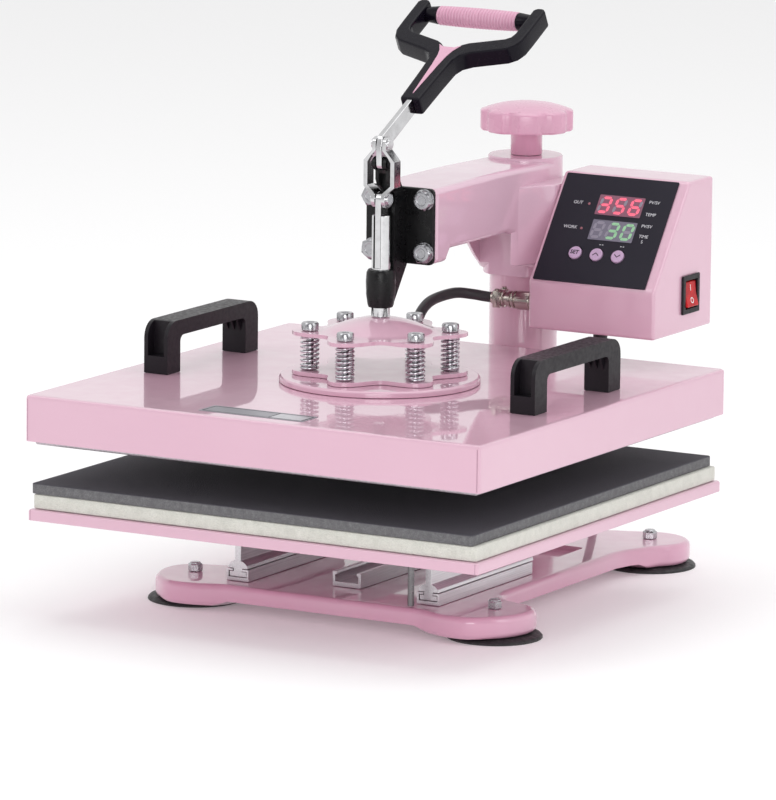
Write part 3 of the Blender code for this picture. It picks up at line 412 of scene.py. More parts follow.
def lead_sleeve():
    """A varnished, braided sleeve: two sets of slanting yarns."""
    look = Look("lead_sleeve", (0.02, 0.018, 0.021), 0.48)
    look.tint(look.bands(260, "DIAGONAL", 0.6), (0.06, 0.056, 0.062), 0.6)
    look.bump(look.bands(260, "DIAGONAL", 0.6), 0.00022, 0.7)
    return look.bump(look.cells(650), 0.0002, 0.6)


def panel_film():
    look = Look("panel_film", (0.014, 0.012, 0.021), 0.42, Specular_IOR_Level=0.22)
    look.tint((14, 2), (0.02, 0.018, 0.028), 0.6)
    look.roughen((900, 2), 0.36, 0.48)
    return look.bump(look.cells(1500), 0.00003, 0.5)


def glowing(name, colour, strength, body):
    look = Look(name, body, 0.3)
    set_inputs(look.shader, {"Emission Color": (*colour, 1)})
    look.join(look.ranged((900, 2), strength * 0.85, strength * 1.1),
              look.shader.inputs["Emission Strength"])
    return look.tint((500, 2), colour, 0.3)


def printed(name, colour, roughness=0.5):
    look = Look(name, colour, roughness)
    look.tint((700, 4), tuple(c * 0.86 for c in colour), 0.6)
    return look.grain(1800, 0.00002)


def red_rocker():
    look = Look("red_rocker", (0.36, 0.004, 0.01), 0.22, Specular_IOR_Level=0.25)
    set_inputs(look.shader, {"Emission Color": (0.9, 0.02, 0.01, 1)})
    look.join(look.ranged((160, 2), 0.02, 0.1), look.shader.inputs["Emission Strength"])
    look.tint((160, 3), (0.52, 0.012, 0.016), 0.8)
    return look.grain(900, 0.00002)


def label_silver():
    look = Look("label_silver", (0.26, 0.25, 0.29), 0.3, 0.75)
    look.tint((1, 3, (30, 900, 30)), (0.36, 0.35, 0.39), 0.6)
    return look.bump((1, 3, (30, 1100, 30)), 0.00002)


def circuit_green():
    look = Look("board", (0.02, 0.16, 0.06), 0.45)
    look.tint(look.cells(220), (0.1, 0.3, 0.12), 0.7)
    return look.bump(look.cells(220), 0.0002)


def ceramic():
    look = Look("ceramic_board", (0.72, 0.7, 0.65), 0.93)
    look.tint((200, 5), (0.58, 0.56, 0.52), 0.7)
    return look.grain(800, 0.0003)


PRINTS = {                                  # red, green, blue and roughness
    "lilac_button": (0.54, 0.37, 0.55, 0.42), "display_window": (0.19, 0.175, 0.23, 0.25),
    "display_red": (0.26, 0.105, 0.155, 0.25), "display_dark": (0.27, 0.25, 0.31, 0.3),
    "lamp_dim": (0.34, 0.12, 0.15, 0.3), "panel_ink": (0.66, 0.66, 0.7, 0.5),
    "dark_ink": (0.018, 0.012, 0.024, 0.6), "white_ink": (0.86, 0.86, 0.86, 0.4),
    "seam_shadow": (0.36, 0.17, 0.25, 0.7),
}


def make_looks():
    made = [
        # A darker and a lighter copy of pink_paint: painted shade on the base under the tray, painted light
        # on the arm
        pink_paint(), pink_paint("painted_shade_paint", PINK_DEEP), pink_paint("painted_light_paint", PINK_PAINTED_LIGHT),
        pink_plastic(), pink_plastic("grip_wrap", 0.45), black_plastic(),
        black_plastic("fork_plastic", (0.005, 0.004, 0.008), 0.2, 0.14), black_enamel(), panel_film(),
        plated("chrome", (0.66, 0.66, 0.67), 0.13), plated("zinc_plating", ZINC, 0.25),
        plated("bolt_steel", (0.43, 0.43, 0.45), 0.24), plated("dark_steel", (0.24, 0.235, 0.24), 0.32),
        plated("spring_wire", (0.66, 0.66, 0.69), 0.18, 0.05),
        plated("nickel", (0.5, 0.45, 0.41), 0.22, 0.03, (900, 60, 60), 0.15),
        plated("blade_nickel", (0.74, 0.72, 0.68), 0.28), plated("label_pale", (0.66, 0.65, 0.69), 0.34),
        aluminium(), plate_metal(), felt(), foam(), rubber(), cord_sheath(), lead_sleeve(), red_rocker(),
        circuit_green(), ceramic(), glowing("digit_red", (1.0, 0.15, 0.25), 0.55, (0.5, 0.09, 0.13)),
        glowing("digit_green", (0.38, 0.75, 0.42), 0.2, (0.2, 0.36, 0.22)), label_silver(),
    ]
    looks = {look.name: look for look in made}
    looks["steel"], looks["black_paint"] = looks["zinc_plating"], looks["black_enamel"]
    looks["foot_rubber"] = rubber().zinc_above(BASE_TOP - 0.0005)
    looks["studded_paint"] = pink_paint("studded_paint").zinc_above(SPRING_LOW - 0.0002)
    for name, (*colour, roughness) in PRINTS.items():
        looks[name] = printed(name, colour, roughness)
    return looks


# ---- mesh helpers
def show(name, mesh, look, body):
    """Puts a mesh in the scene with its look, on a body if one is named."""
    mesh.materials.clear()
    mesh.materials.append(LOOKS[look].material)
    made = new_object(name, mesh)
    if body:
        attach(made, body)
    return made


def piece(name, shape, look, body, sharp=38):
    """A shown piece from a bmesh, smooth but for its sharp edges."""
    bmesh.ops.recalc_face_normals(shape, faces=shape.faces)
    mesh = bpy.data.meshes.new(name)
    shape.to_mesh(mesh)
    shape.free()
    shade_smooth(mesh)
    mesh.set_sharp_from_angle(angle=math.radians(sharp))
    return show(name, mesh, look, body)


def through_rings(shape, rings, around=False):
    """A surface through closed rings, its ends filled, or closed around on its first ring."""
    rows = [[shape.verts.new(p) for p in ring] for ring in rings]
    count = len(rows[0])
    following = rows[1:] + rows[:1] if around else rows[1:]
    for a, b in zip(rows, following):
        for i in range(count):
            j = (i + 1) % count
            shape.faces.new((a[i], a[j], b[j], b[i]))
    if not around:
        shape.faces.new(rows[0][::-1])
        shape.faces.new(rows[-1])
    return shape


SIDEWAYS = facing((0, 0, 0), Vector((0, 1, 0)), Vector((0, 0, 1)))      # puts an outline in Y and Z


def slab(shape, outline, low, high, place):
    """An outline in its own X and Y, drawn out from low to high along Z."""
    return through_rings(shape, [[place @ Vector((x, y, z)) for x, y in outline] for z in (low, high)])


def circle(radius, steps, z=0.0):
    return [Vector((radius * math.cos(math.tau * i / steps), radius * math.sin(math.tau * i / steps), z))
            for i in range(steps)]


def turned(shape, profile, steps, place, around=False, radial=None):
    """A turned body from (radius, z) in mm; radial(angle, radius in m) may shape it around its axis."""
    rings = []
    for radius, z in mm(profile):
        ring = circle(radius, steps, z)
        if radial:
            for i, p in enumerate(ring):
                scale = radial(math.tau * i / steps, radius)
                p.x, p.y = p.x * scale, p.y * scale
        rings.append([place @ p for p in ring])
    return through_rings(shape, rings, around=around)


def rounded_rect(half_x, half_y, corner, steps=6):
    points = []
    for quarter, (sx, sy) in enumerate(((1, 1), (-1, 1), (-1, -1), (1, -1))):
        for i in range(steps + 1):
            angle = math.pi / 2 * (quarter + i / steps)
            points.append((sx * (half_x - corner) + corner * math.cos(angle),
                           sy * (half_y - corner) + corner * math.sin(angle)))
    return points


def prism(shape, outline, low, high, place, edge):
    """An upright solid over an outline near its own origin, its rims eased by edge."""
    levels = [(0, low), (0, high)]
    if edge:
        levels = [(edge, low), (0, low + edge), (0, high - edge), (edge, high)]
    rings = []
    for inset, z in levels:
        scales = [1 - inset / (math.hypot(x, y) or 1.0) for x, y in outline]
        rings.append([place @ Vector((x * scale, y * scale, z)) for (x, y), scale in zip(outline, scales)])
    return through_rings(shape, rings)


def smooth_path(points, spacing):
    """Points along a smooth curve (Catmull-Rom) through the given ones."""
    ends = [2 * points[0] - points[1]] + points + [2 * points[-1] - points[-2]]
    path = [points[0]]
    for a, b, c, d in zip(ends, ends[1:], ends[2:], ends[3:]):
        count = max(2, round((c - b).length / spacing))
        for i in range(1, count + 1):
            t = i / count
            path.append(0.5 * (2 * b + (c - a) * t + (2 * a - 5 * b + 4 * c - d) * t ** 2
                               + (3 * b - a - 3 * c + d) * t ** 3))
    return path


def tube(shape, path, radius, sides=12):
    """A round tube along a path, its rings turned as little as possible from one to the next."""
    side = None
    rings = []
    for i, point in enumerate(path):
        ahead = (path[min(i + 1, len(path) - 1)] - path[max(i - 1, 0)]).normalized()
        if side is None:
            side = ahead.orthogonal().normalized()
        side = (side - ahead * side.dot(ahead)).normalized()
        other = ahead.cross(side)
        rings.append([point + radius * (math.cos(math.tau * k / sides) * side
                                        + math.sin(math.tau * k / sides) * other) for k in range(sides)])
    return through_rings(shape, rings)


def box(shape, low, high, place, edge=0.0):
    """A box between two corners in mm, with rounded upright edges and eased rims."""
    low, high = (Vector(corner) for corner in mm((low, high)))
    half = (high - low) / 2
    edge /= 1000
    outline = rounded_rect(half.x, half.y, max(edge, 0.00002), 2)
    return prism(shape, outline, -half.z, half.z, place @ Matrix.Translation((low + high) / 2), edge)


# ---- cords
GLAND = (76.0, 215.0, BOX_LOW.z * 1000)     # where the mains cord leaves the box; these are in mm
CORD_ROUTE = [
    (GLAND[0], GLAND[1], GLAND[2] - 13), (GLAND[0], GLAND[1], GLAND[2] - 27), (73.5, 216.5, 158.0),
    (66.0, 220.5, 144.0), (57.0, 226.5, 129.0), (51.0, 232.0, 110.0), (49.0, 236.0, 86.0),
    (48.5, 242.0, 64.0), (47.0, 254.0, 44.0), (43.0, 270.0, 27.0), (35.0, 283.0, 13.0), (21.0, 293.0, 5.8),
    (2.0, 298.5, 3.8), (-20.0, 300.5, 3.7), (-45.0, 300.7, 3.7), (-77.5, 300.7, 3.7),
]
CORD_TAIL = [(-88.0, 388.2, 17.6), (-72.0, 385.5, 15.0), (-64.0, 383.8, 12.8), (-59.0, 383.5, 12.5)]
LEAD_ROUTE = [
    (6.2, 165.0, 217.4), (0.0, 164.7, 217.6), (-9.5, 161.0, 219.0), (-18.5, 151.5, 220.5),
    (-24.0, 135.0, 219.0), (-24.5, 118.0, 216.5), (-22.5, 102.0, 210.5), (-20.5, 92.0, 200.0),
    (-20.0, 89.0, 188.0), (-20.0, 89.0, 174.8),
]
COIL_LANES = mm([(44.3, 3.7), (37.3, 3.7), (37.3, 10.7), (44.3, 10.7), (44.3, 17.7)])
COIL_SHIFT = 1.15                           # radians over which the cord crosses to its next lane
COIL_TURNS = 3.5
COIL_STEPS = 26                             # points in each turn


def coil_points():
    """The coil's turns, clockwise from above, side by side and then in layers."""
    lane_angle = math.tau - COIL_SHIFT
    points = []
    for i in range(round(COIL_TURNS * COIL_STEPS) + 1):
        angle = math.tau * i / COIL_STEPS
        lane = min(int(angle / lane_angle), len(COIL_LANES) - 1)
        radius, z = COIL_LANES[lane]
        crossing = (angle - (lane + 1) * lane_angle + COIL_SHIFT) / COIL_SHIFT
        if crossing > 0 and lane + 1 < len(COIL_LANES):
            share = 2 * crossing ** 2 if crossing < 0.5 else 1 - 2 * (1 - crossing) ** 2
            radius += (COIL_LANES[lane + 1][0] - radius) * share
            z += (COIL_LANES[lane + 1][1] - z) * share
        turn = -math.pi / 2 - angle
        points.append(Vector((COIL_X + radius * math.cos(turn), COIL_Y + radius * math.sin(turn), z)))
    return points


def from_press(points):
    """Points in mm, as seen from the plunger's line, put in the frame."""
    return [Vector((x, PRESS_Y + y, z)) for x, y, z in mm(points)]


def make_power_cord():
    route = smooth_path(from_press(CORD_ROUTE), 0.007)
    coil = coil_points()
    straight = [route[-1].lerp(coil[0], t) for t in (0.33, 0.67)]
    tail = smooth_path([coil[-1]] + from_press(CORD_TAIL), 0.006)[1:]
    path = route + straight + coil + tail
    cord = piece("mains_cord", tube(bmesh.new(), path, CORD_DIAMETER / 2, 12), "cord_sheath", None,
                 60)
    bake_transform(cord)
    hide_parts("power_cord_drop", "power_cord_floor", "power_cord_coil")
    pieces = make_plug() + [make_tie()]


def make_plug():
    """The mains plug beside the coil: a ribbed moulded body, two flat blades and an earth pin."""
    centre = middle("power_plug")
    plug = at(0, centre.y, 0.0125)
    along = plug @ spin(math.pi / 2, "Y")
    sections = [(-65.0, 5.0, 5.0, 4.9), (-57.5, 5.6, 5.6, 5.5), (-53.5, 6.2, 6.6, 5.8),
                (-50.0, 9.8, 11.0, 5.0), (-46.0, 11.0, 12.6, 4.5), (-25.0, 11.4, 12.8, 4.5),
                (-23.0, 10.6, 12.0, 4.0)]
    shape = bmesh.new()
    through_rings(shape, [[along @ Vector((px, py, x)) for px, py in rounded_rect(*sizes, 5)]
                          for x, *sizes in mm(sections)])
    for x in (-62.5, -60.0):
        turned(shape, [(5.0, x), (6.0, x + 0.3), (6.0, x + 1.2), (5.0, x + 1.5)], 20, along)
    for x in (-44.5, -40.0, -35.5, -31.0):
        box(shape, (x, -8.5, 11.0), (x + 1.8, 8.5, 11.9), plug, 0.3)
    body = piece("plug_body", shape, "rubber", "stand")
    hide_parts("power_plug")
    blades = bmesh.new()
    for y in (-6.4, 6.4):
        box(blades, (-23.2, y - 0.8, -1.0), (-5.7, y + 0.8, 5.3), plug, 0.3)
    turned(blades, [(2.4, -23.2), (2.4, -7.0), (1.8, -5.8), (0.6, -5.3)], 16, at(0, 0, -0.0065) @ along)
    metal = piece("plug_blades", blades, "blade_nickel", "stand")
    return [body, metal]


def make_tie():
    """A flat strap around the coil, with a small buckle on top."""
    place = at(COIL_X, COIL_Y, 0) @ spin(math.radians(215), "Z") @ at(0.0408, 0, 0.0109)
    place = place @ spin(math.pi / 2, "X")
    inner = rounded_rect(0.0071, 0.0107, 0.003, 5)
    outer = [(x + 0.0009 * (1 if x > 0 else -1), y + (0.0009 if y > 0 else -0.00015)) for x, y in inner]
    rings = ((inner, -0.004), (outer, -0.004), (outer, 0.004), (inner, 0.004))
    shape = through_rings(bmesh.new(), [[place @ Vector((x, y, z)) for x, y in ring] for ring, z in rings],
                          around=True)
    box(shape, (-3.6, 11.2, -5.2), (3.6, 13.2, 5.2), place, 0.6)
    return piece("cord_tie", shape, "black_plastic", "stand", 50)


def make_heater_lead():
    path = smooth_path(from_press(LEAD_ROUTE), 0.0035)
    lead = piece("heater_sleeve", tube(bmesh.new(), path, LEAD_DIAMETER / 2, 16), "lead_sleeve", None,
                 60)
    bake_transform(lead)
    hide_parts("heater_lead")


# ---- nodes kept from the model
FEET = ("foot_front_left", "foot_front_right", "foot_back_left", "foot_back_right")
NODE_LOOKS = {
    # The base and the arm take the darker and lighter copies of the pink paint: painted shade and painted
    # light
    "base_plate": "painted_shade_paint", "arm_casting": "painted_light_paint", "handle_fork": "fork_plastic",
    "heat_plate": "plate_metal", "stop_pin": "dark_steel", "stud_plate": "studded_paint",
    **dict.fromkeys(FEET, "foot_rubber"),
}
EDGES = {
    "base_plate": 0.001, "arm_casting": 0.0012, "column": 0.0008, "head_housing": 0.0009,
    "lower_tray": 0.0006, "control_box": 0.001, "handle_fork": 0.0012, "spring_plate": 0.0006,
    "stud_plate": 0.0004, "spring_disc": 0.0006, "toggle_bracket": 0.0006, "heat_plate": 0.0008,
}
NARROW_EDGE = 0.00028


def finish_node(name, node):
    """Gives a CAD node its look, eased edges and smooth shading, by modifiers alone."""
    slot = node.material_slots[0].material.name.split(".")[0]
    mesh = node.data
    for key in ("custom_normal", "sharp_edge", "sharp_face"):
        found = mesh.attributes.get(key)
        if found:
            mesh.attributes.remove(found)
    shade_smooth(mesh)
    mesh.materials.clear()
    mesh.materials.append(LOOKS[NODE_LOOKS.get(name, slot)].material)
    modify(node, "weld", "WELD", merge_threshold=0.00001)
    modify(node, "flats", "DECIMATE", decimate_type="DISSOLVE", angle_limit=math.radians(0.4))
    modify(node, "edge", "BEVEL", width=EDGES.get(name, NARROW_EDGE), segments=2, limit_method="ANGLE",
           angle_limit=math.radians(38))
    modify(node, "normals", "WEIGHTED_NORMAL", keep_sharp=True)


# ---- pads on the drawer
def make_pad(name, node, look, corner, edge, waviness, seed):
    """A cut slab: worn rims, edges that wander a little, and a top that isn't quite flat."""
    low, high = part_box(node)
    centre, half = (low + high) / 2, (high - low) / 2
    outline = rounded_rect(half.x, half.y, corner, 4)
    dense = []
    for (ax, ay), (bx, by) in zip(outline, outline[1:] + outline[:1]):
        count = max(1, round(math.hypot(bx - ax, by - ay) / 0.004))
        dense += [(ax + (bx - ax) * i / count, ay + (by - ay) * i / count) for i in range(count)]
    levels = [(edge, 0), (edge * 0.3, edge * 0.3), (0, edge), (0, half.z), (0, 2 * half.z - edge),
              (edge * 0.3, 2 * half.z - edge * 0.3), (edge, 2 * half.z), (0.006, 2 * half.z),
              (0.03, 2 * half.z - 0.0002), (0.09, 2 * half.z - 0.0001), (0.15, 2 * half.z - 0.0002)]
    rings = []
    for inset, rise in levels:
        ring = []
        for x, y in dense:
            wander = noise.noise(Vector((x * 30, y * 30, rise * 60 + seed))) * waviness
            step = inset + abs(wander) + waviness * 0.2
            scale_x, scale_y = 1 - step / half.x, 1 - step / half.y
            dip = 0.0
            if rise > half.z:
                dip = 0.5 * waviness * (1 + noise.noise(Vector((x * 25, y * 25, seed))))
            ring.append(Vector((centre.x + x * scale_x, centre.y + y * scale_y, low.z + rise - dip)))
        rings.append(ring)
    pad = piece(name, through_rings(bmesh.new(), rings), look, "drawer", 50)
    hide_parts(node)


# ---- pressure set on the head
SCREW_PLACES = [at(SCREW_CIRCLE * math.cos(angle), PRESS_Y + SCREW_CIRCLE * math.sin(angle), 0)
                for angle in (math.radians(30 + 60 * i) for i in range(6))]


def make_spring(index, place):
    """A compression spring with closed end coils."""
    wire, outer, turns, per_turn = 0.001, 0.0074, 8.0, 18
    height = SPRING_HIGH - SPRING_LOW - 2 * wire
    path = []
    for i in range(round(turns * per_turn) + 1):
        share = i / (turns * per_turn)
        flat = 1.0 / turns
        rise = min(max((share - flat * 0.75) / (1 - 1.5 * flat), 0), 1)
        angle = math.tau * turns * share + index
        closed = min(share / flat, 1) + min(max((share - 1 + flat) / flat, 0), 1)
        lift = rise * (height - 2 * wire) + wire * closed
        path.append(place @ Vector(((outer - wire) * math.cos(angle), (outer - wire) * math.sin(angle),
                                    SPRING_LOW + wire + lift)))
    spring = piece(f"coil_spring_{index + 1}", tube(bmesh.new(), path, wire, 8), "spring_wire", "head",
                   70)
    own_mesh(spring)
    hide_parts(f"pressure_spring_{index + 1}")


def make_screw_heads():
    """Knurled cap-screw heads with hexagon sockets, and the nuts at the springs' feet."""
    heads, nuts = bmesh.new(), bmesh.new()
    top, low, steps = 0.2199, 0.2139, 48
    rim = circle(1.0, steps)
    knurl = [0.0064 + (0.00022 if i % 2 else 0.0) for i in range(steps)]
    socket = []
    for p in rim:
        angle = math.atan2(p.y, p.x) % (math.tau / 6) - math.tau / 12
        socket.append(0.0029 / math.cos(angle))
    levels = [([r - 0.0005 for r in knurl], low), (knurl, low + 0.0005), (knurl, top - 0.001),
              ([0.0059] * steps, top), (socket, top), ([r * 0.96 for r in socket], top - 0.0008)]
    nut = [(3.6, 183.7), (5.7, 183.7), (6.0, 184.2), (6.0, 186.6), (5.7, 187.1), (3.6, 187.1)]
    for k, place in enumerate(SCREW_PLACES):
        through_rings(heads, [[place @ (p * r + Vector((0, 0, z))) for p, r in zip(rim, radii)]
                              for radii, z in levels])
        turned(nuts, nut, 6, place @ spin(0.3 * k, "Z"), around=True)
    piece("cap_screw_heads", heads, "steel", "head", 32)
    piece("spring_foot_nuts", nuts, "steel", "head", 30)


def make_label():
    """The blank silver label near the head's front edge."""
    place = at(-0.007175, PRESS_Y - 0.170025, HEAD_HIGH.z)
    shape = prism(bmesh.new(), rounded_rect(0.0452, 0.0124, 0.0015, 4), 0.00002, 0.00022, place, 0.00005)
    piece("blank_label", shape, "label_silver", "head", 30)
    lines = bmesh.new()
    for y in (-9.5, 9.5):
        box(lines, (-42.5, y - 0.25, 0.2), (42.5, y + 0.25, 0.3), place)
    for x in (-42.5, 14.0, 42.5):
        box(lines, (x - 0.25, -9.5, 0.2), (x + 0.25, 9.5, 0.3), place)
    piece("label_border", lines, "dark_ink", "head", 30)
    field = box(bmesh.new(), (15.0, -8.5, 0.2), (41.5, 8.5, 0.26), place, 0.04)
    piece("label_field", field, "label_pale", "head", 30)


def make_corner_seams():
    """The thin joint lines where the sheet of the head and of the tray meets at its corners."""
    for body, name, low, high, drop in (("head", "head", HEAD_LOW, HEAD_HIGH, 0.003),
                                        ("drawer", "tray", TRAY_LOW, TRAY_HIGH, 0.0008)):
        shape = bmesh.new()
        rise = (high.z - low.z - drop * 1.3) * 1000
        for x, inward in ((low.x, 1), (high.x, -1)):
            for y in (low.y, high.y):
                foot = at(x + inward * 0.0024, y, low.z + drop * 0.3)
                box(shape, (-0.16, -0.06, 0), (0.16, 0.06, rise), foot)
        piece(name + "_corner_seams", shape, "seam_shadow", body, 30)


def make_carry_handle(name, node):
    """A moulded bow handle: screw pockets in both ends and ribs under its corners."""
    low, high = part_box(node)
    x = (low.x + high.x) / 2
    half = (high.x - low.x) / 2
    foot, bar, outer_r, inner_r = 0.019, 0.012, 0.013, 0.005
    y0, y1, z0, z1 = low.y, high.y, low.z, high.z

    def bend(cy, cz, radius, start, end, steps=7):
        angles = [math.radians(start + (end - start) * i / steps) for i in range(steps + 1)]
        return [(cy + radius * math.cos(a), cz + radius * math.sin(a)) for a in angles]

    outline = [(y0, z0), *bend(y0 + outer_r, z1 - outer_r, outer_r, 180, 90)]
    outline += bend(y1 - outer_r, z1 - outer_r, outer_r, 90, 0) + [(y1, z0), (y1 - foot, z0)]
    outline += bend(y1 - foot - inner_r, z1 - bar - inner_r, inner_r, 0, 90)
    outline += bend(y0 + foot + inner_r, z1 - bar - inner_r, inner_r, 90, 180) + [(y0 + foot, z0)]
    shape = slab(bmesh.new(), outline, -half, half, at(x, 0, 0) @ SIDEWAYS)
    handle = piece(name, shape, "black_plastic", None)
    cutters = []
    for end, direction in ((y0, 1), (y1, -1)):
        front, back = sorted((-2.0 * direction, 9.5 * direction))
        cut = box(bmesh.new(), (-7.2, front, 13.5), (7.2, back, (z1 - z0) * 1000 + 4), at(x, end, z0))
        cutters.append(piece("pocket", cut, "black_plastic", None))
        modify(handle, "pocket", "BOOLEAN", operation="DIFFERENCE", solver="EXACT", object=cutters[-1])
    modify(handle, "rounding", "BEVEL", width=0.0011, segments=3, limit_method="ANGLE",
           angle_limit=math.radians(50))
    mesh = baked(handle)
    handle.modifiers.clear()
    handle.data = mesh
    shade_smooth(mesh)
    for cutter in cutters:
        bpy.data.objects.remove(cutter)
    modify(handle, "normals", "WEIGHTED_NORMAL", keep_sharp=True)
    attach(handle, "head")
    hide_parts(node)
    ribs = bmesh.new()
    for end, direction in ((y0 + foot, 1), (y1 - foot, -1)):
        for shift in (-0.0055, 0.0, 0.0055):
            web = [(-direction * 0.001, -0.0125), (direction * 0.0075, 0.001), (-direction * 0.001, 0.001)]
            slab(ribs, web, -0.0007, 0.0007, at(x + shift, end, z1 - bar) @ SIDEWAYS)
    piece(name + "_ribs", ribs, "black_plastic", "head", 30)


# ---- base details
def make_base_nuts():
    """Hexagon nuts on the four suction feet's studs, each with a domed locking ring."""
    shape = bmesh.new()
    for k, node in enumerate(FEET):
        foot = middle(node)
        place = at(foot.x, foot.y, BASE_TOP) @ spin(0.4 + 0.7 * k, "Z")
        turned(shape, [(3.7, 0.2), (5.2, 0.2), (5.6, 0.7), (5.6, 5.4), (5.0, 6.2), (3.7, 6.2)], 6, place,
               around=True)
        turned(shape, [(4.3, 5.8), (4.2, 6.8), (3.6, 7.3), (1.6, 7.5)], 20, place)
    piece("foot_nuts", shape, "steel", "stand", 30)


# ---- toggle bracket
BRACKET_FACE = PRESS_Y + 0.0274             # front of the bolted plate
BOLT_TURNS = (0.4, 1.1, 0.1, 0.8)           # radians, each as it was tightened
BOLT_PROFILE = [
    (3.0, -13.8), (3.8, -13.0), (3.8, 0.2), (8.0, 0.2), (8.2, 0.5), (8.2, 1.2), (7.9, 1.5), (6.0, 1.6),
    (8.3, 1.9), (8.3, 5.2), (6.8, 6.2), (6.2, 6.4), (4.0, 6.2), (3.7, 6.0), (0.8, 6.0),
]                                           # the shank, the washer, then the six-sided head


def make_bolts():
    """Hexagon bolts with chamfered heads on plain washers."""
    def six_sided(angle, radius):
        if radius < 0.00829:
            return 1.0
        return math.cos(math.pi / 6) / math.cos(angle % (math.pi / 3) - math.pi / 6)

    for number, turn in enumerate(BOLT_TURNS, 1):
        centre = middle(f"bracket_bolt_{number}")
        place = at(centre.x, BRACKET_FACE, centre.z) @ spin(math.pi / 2, "X") @ spin(turn, "Z")
        shape = turned(bmesh.new(), BOLT_PROFILE, 48, place, radial=six_sided)
        bolt = piece(f"hex_bolt_{number}", shape, "bolt_steel", "arm", 24)
        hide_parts(f"bracket_bolt_{number}")


def make_ear_lugs():
    """The front lugs of the bracket's ears under the pivot, and the stop between them."""
    lug = mm([(0.4, 338.5), (0.4, 330.2), (3.0, 325.0), (10.0, 321.5), (10.0, 333.0), (5.0, 338.5)])
    stop = mm([(6.2, 321.5), (12.0, 319.0), (20.0, 319.0), (14.0, 332.5), (6.2, 334.0)])
    shape = bmesh.new()
    for outline, low, high in ((lug, -0.006, -0.0032), (lug, 0.0032, 0.006), (stop, -0.0032, 0.0032)):
        slab(shape, outline, low, high, at(0, PRESS_Y, 0) @ SIDEWAYS)
    piece("ear_lugs", shape, "black_paint", "arm", 30)


# ---- handle
def fork_frame(s):
    """On the lever's line: X across the fork, Y along the lever, Z off its broad face."""
    along = Vector((0, math.sin(LEAN), math.cos(LEAN)))
    point = Vector((0, PRESS_Y, LINK_Z)) + along * s
    return facing(point, Vector((1, 0, 0)), along)


def make_fork_inlay():
    """The pink tongue let into the fork's stem, widening into the crotch."""
    right = mm([(0.3, 57.0), (0.9, 66.0), (1.8, 80.0), (2.7, 95.0), (4.0, 108.0), (5.8, 115.0),
                (8.6, 120.5), (9.8, 122.2), (7.6, 121.2), (5.0, 119.5)])
    outline = right + [(-x, s) for x, s in reversed(right)]
    shape = bmesh.new()
    place = fork_frame(0)
    slab(shape, outline, 0.0075, 0.0079, place)
    slab(shape, outline, -0.0079, -0.0075, place)
    slab(shape, mm([(5.2, 121.4), (-5.2, 121.4), (-5.2, 120.8), (5.2, 120.8)]), -0.0058, 0.0058, place)
    piece("fork_inlay", shape, "pink_plastic", "handle", 30)


def make_grip():
    """The wound pink sleeve and its black tapered collars on the axle."""
    place = fork_frame(GRIP_ALONG) @ spin(math.pi / 2, "Y")
    ribs, half, steps = 26, 34.8, 8
    profile = []
    for i in range(ribs * steps + 1):
        z = -half + 2 * half * i / (ribs * steps)
        swell = 7.6 - 0.6 * (z / half) ** 2
        profile.append((swell + 0.9 * abs(math.sin(math.pi * i / steps)) - 0.4, z))
    sleeve = turned(bmesh.new(), profile, 40, place)
    wrap = piece("grip_sleeve", sleeve, "grip_wrap", "handle", 80)
    collars = bmesh.new()
    for side in (-1, 1):
        ends = [(6.6, 34.6), (7.1, 35.2), (7.1, 36.2), (6.6, 40.0), (6.2, 44.0), (5.8, 45.2), (3.0, 45.3),
                (3.0, 52.0), (2.6, 52.4)]
        turned(collars, [(radius, side * z) for radius, z in ends], 32, place)
    piece("grip_collars", collars, "fork_plastic", "handle", 40)
    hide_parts("grip")


def make_knob():
    """The scalloped knob: soft lobes, a domed top with a shallow ring, and its shank."""
    low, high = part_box("pressure_knob")
    centre = middle("pressure_knob")
    radius, pitch = (high.x - low.x) / 2, math.tau / 8

    def scallop(angle, reach):
        """Eight hollow flutes, cut square through the rim; a lobe faces the operator's right."""
        off = (angle - math.radians(7) + pitch / 2) % pitch - pitch / 2
        share = min(max((reach / radius - 0.89) / 0.08, 0.0), 1.0)
        return 1 - 0.085 * max(0.0, 1 - (off / 0.175) ** 2) * share

    foot = (low.z - high.z) * 1000
    profile = [(12.0, foot), (12.4, foot + 0.6), (12.4, -24.6), (13.4, -22.8), (20.0, -22.6), (30.0, -22.6),
               (35.2, -22.3), (36.2, -21.4), (36.5, -20.2), (36.5, -7.6), (36.3, -6.8), (35.6, -6.2),
               (32.5, -5.2), (28.5, -3.9), (22.0, -2.1), (14.0, -0.8), (6.0, -0.1), (1.0, 0.0)]
    shape = turned(bmesh.new(), profile, 160, at(centre.x, centre.y, high.z), radial=scallop)
    knob = piece("scalloped_knob", shape, "pink_plastic", "knob", 40)
    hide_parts("pressure_knob")


# ---- control box details
BOX_STRIP = 0.0384                          # height of the upright strip below the slanted front
BOX_SLANT = 0.0568                          # how far the slanted front runs back
FILM = 0.0011                               # top of the panel's film, off the slant
BUTTON_ALONG = 0.0263
BUTTONS = {"button_set": 0.033, "button_up": 0.0515, "button_down": 0.0701}
DISPLAYS = {
    "red_display": (0.0385, 0.078, 0.061, 0.0785, "356", "digit_red"),
    "green_display": (0.0395, 0.078, 0.039, 0.0566, " 30", "digit_green"),
}
SEGMENTS = {" ": "", "0": "abcdef", "3": "abcdg", "5": "acdfg", "6": "acdefg"}


def panel_frame(x=0.0, along=0.0, out=0.0):
    """On the slanted front: X to the right, Y up the slant, Z out of it."""
    rise = BOX_HIGH.z - BOX_LOW.z - BOX_STRIP
    up = Vector((0, BOX_SLANT, rise)).normalized()
    right = Vector((1, 0, 0))
    corner = Vector((BOX_LOW.x, BOX_LOW.y, BOX_LOW.z + BOX_STRIP))
    return facing(corner + right * x + up * along + right.cross(up) * out, right, up)


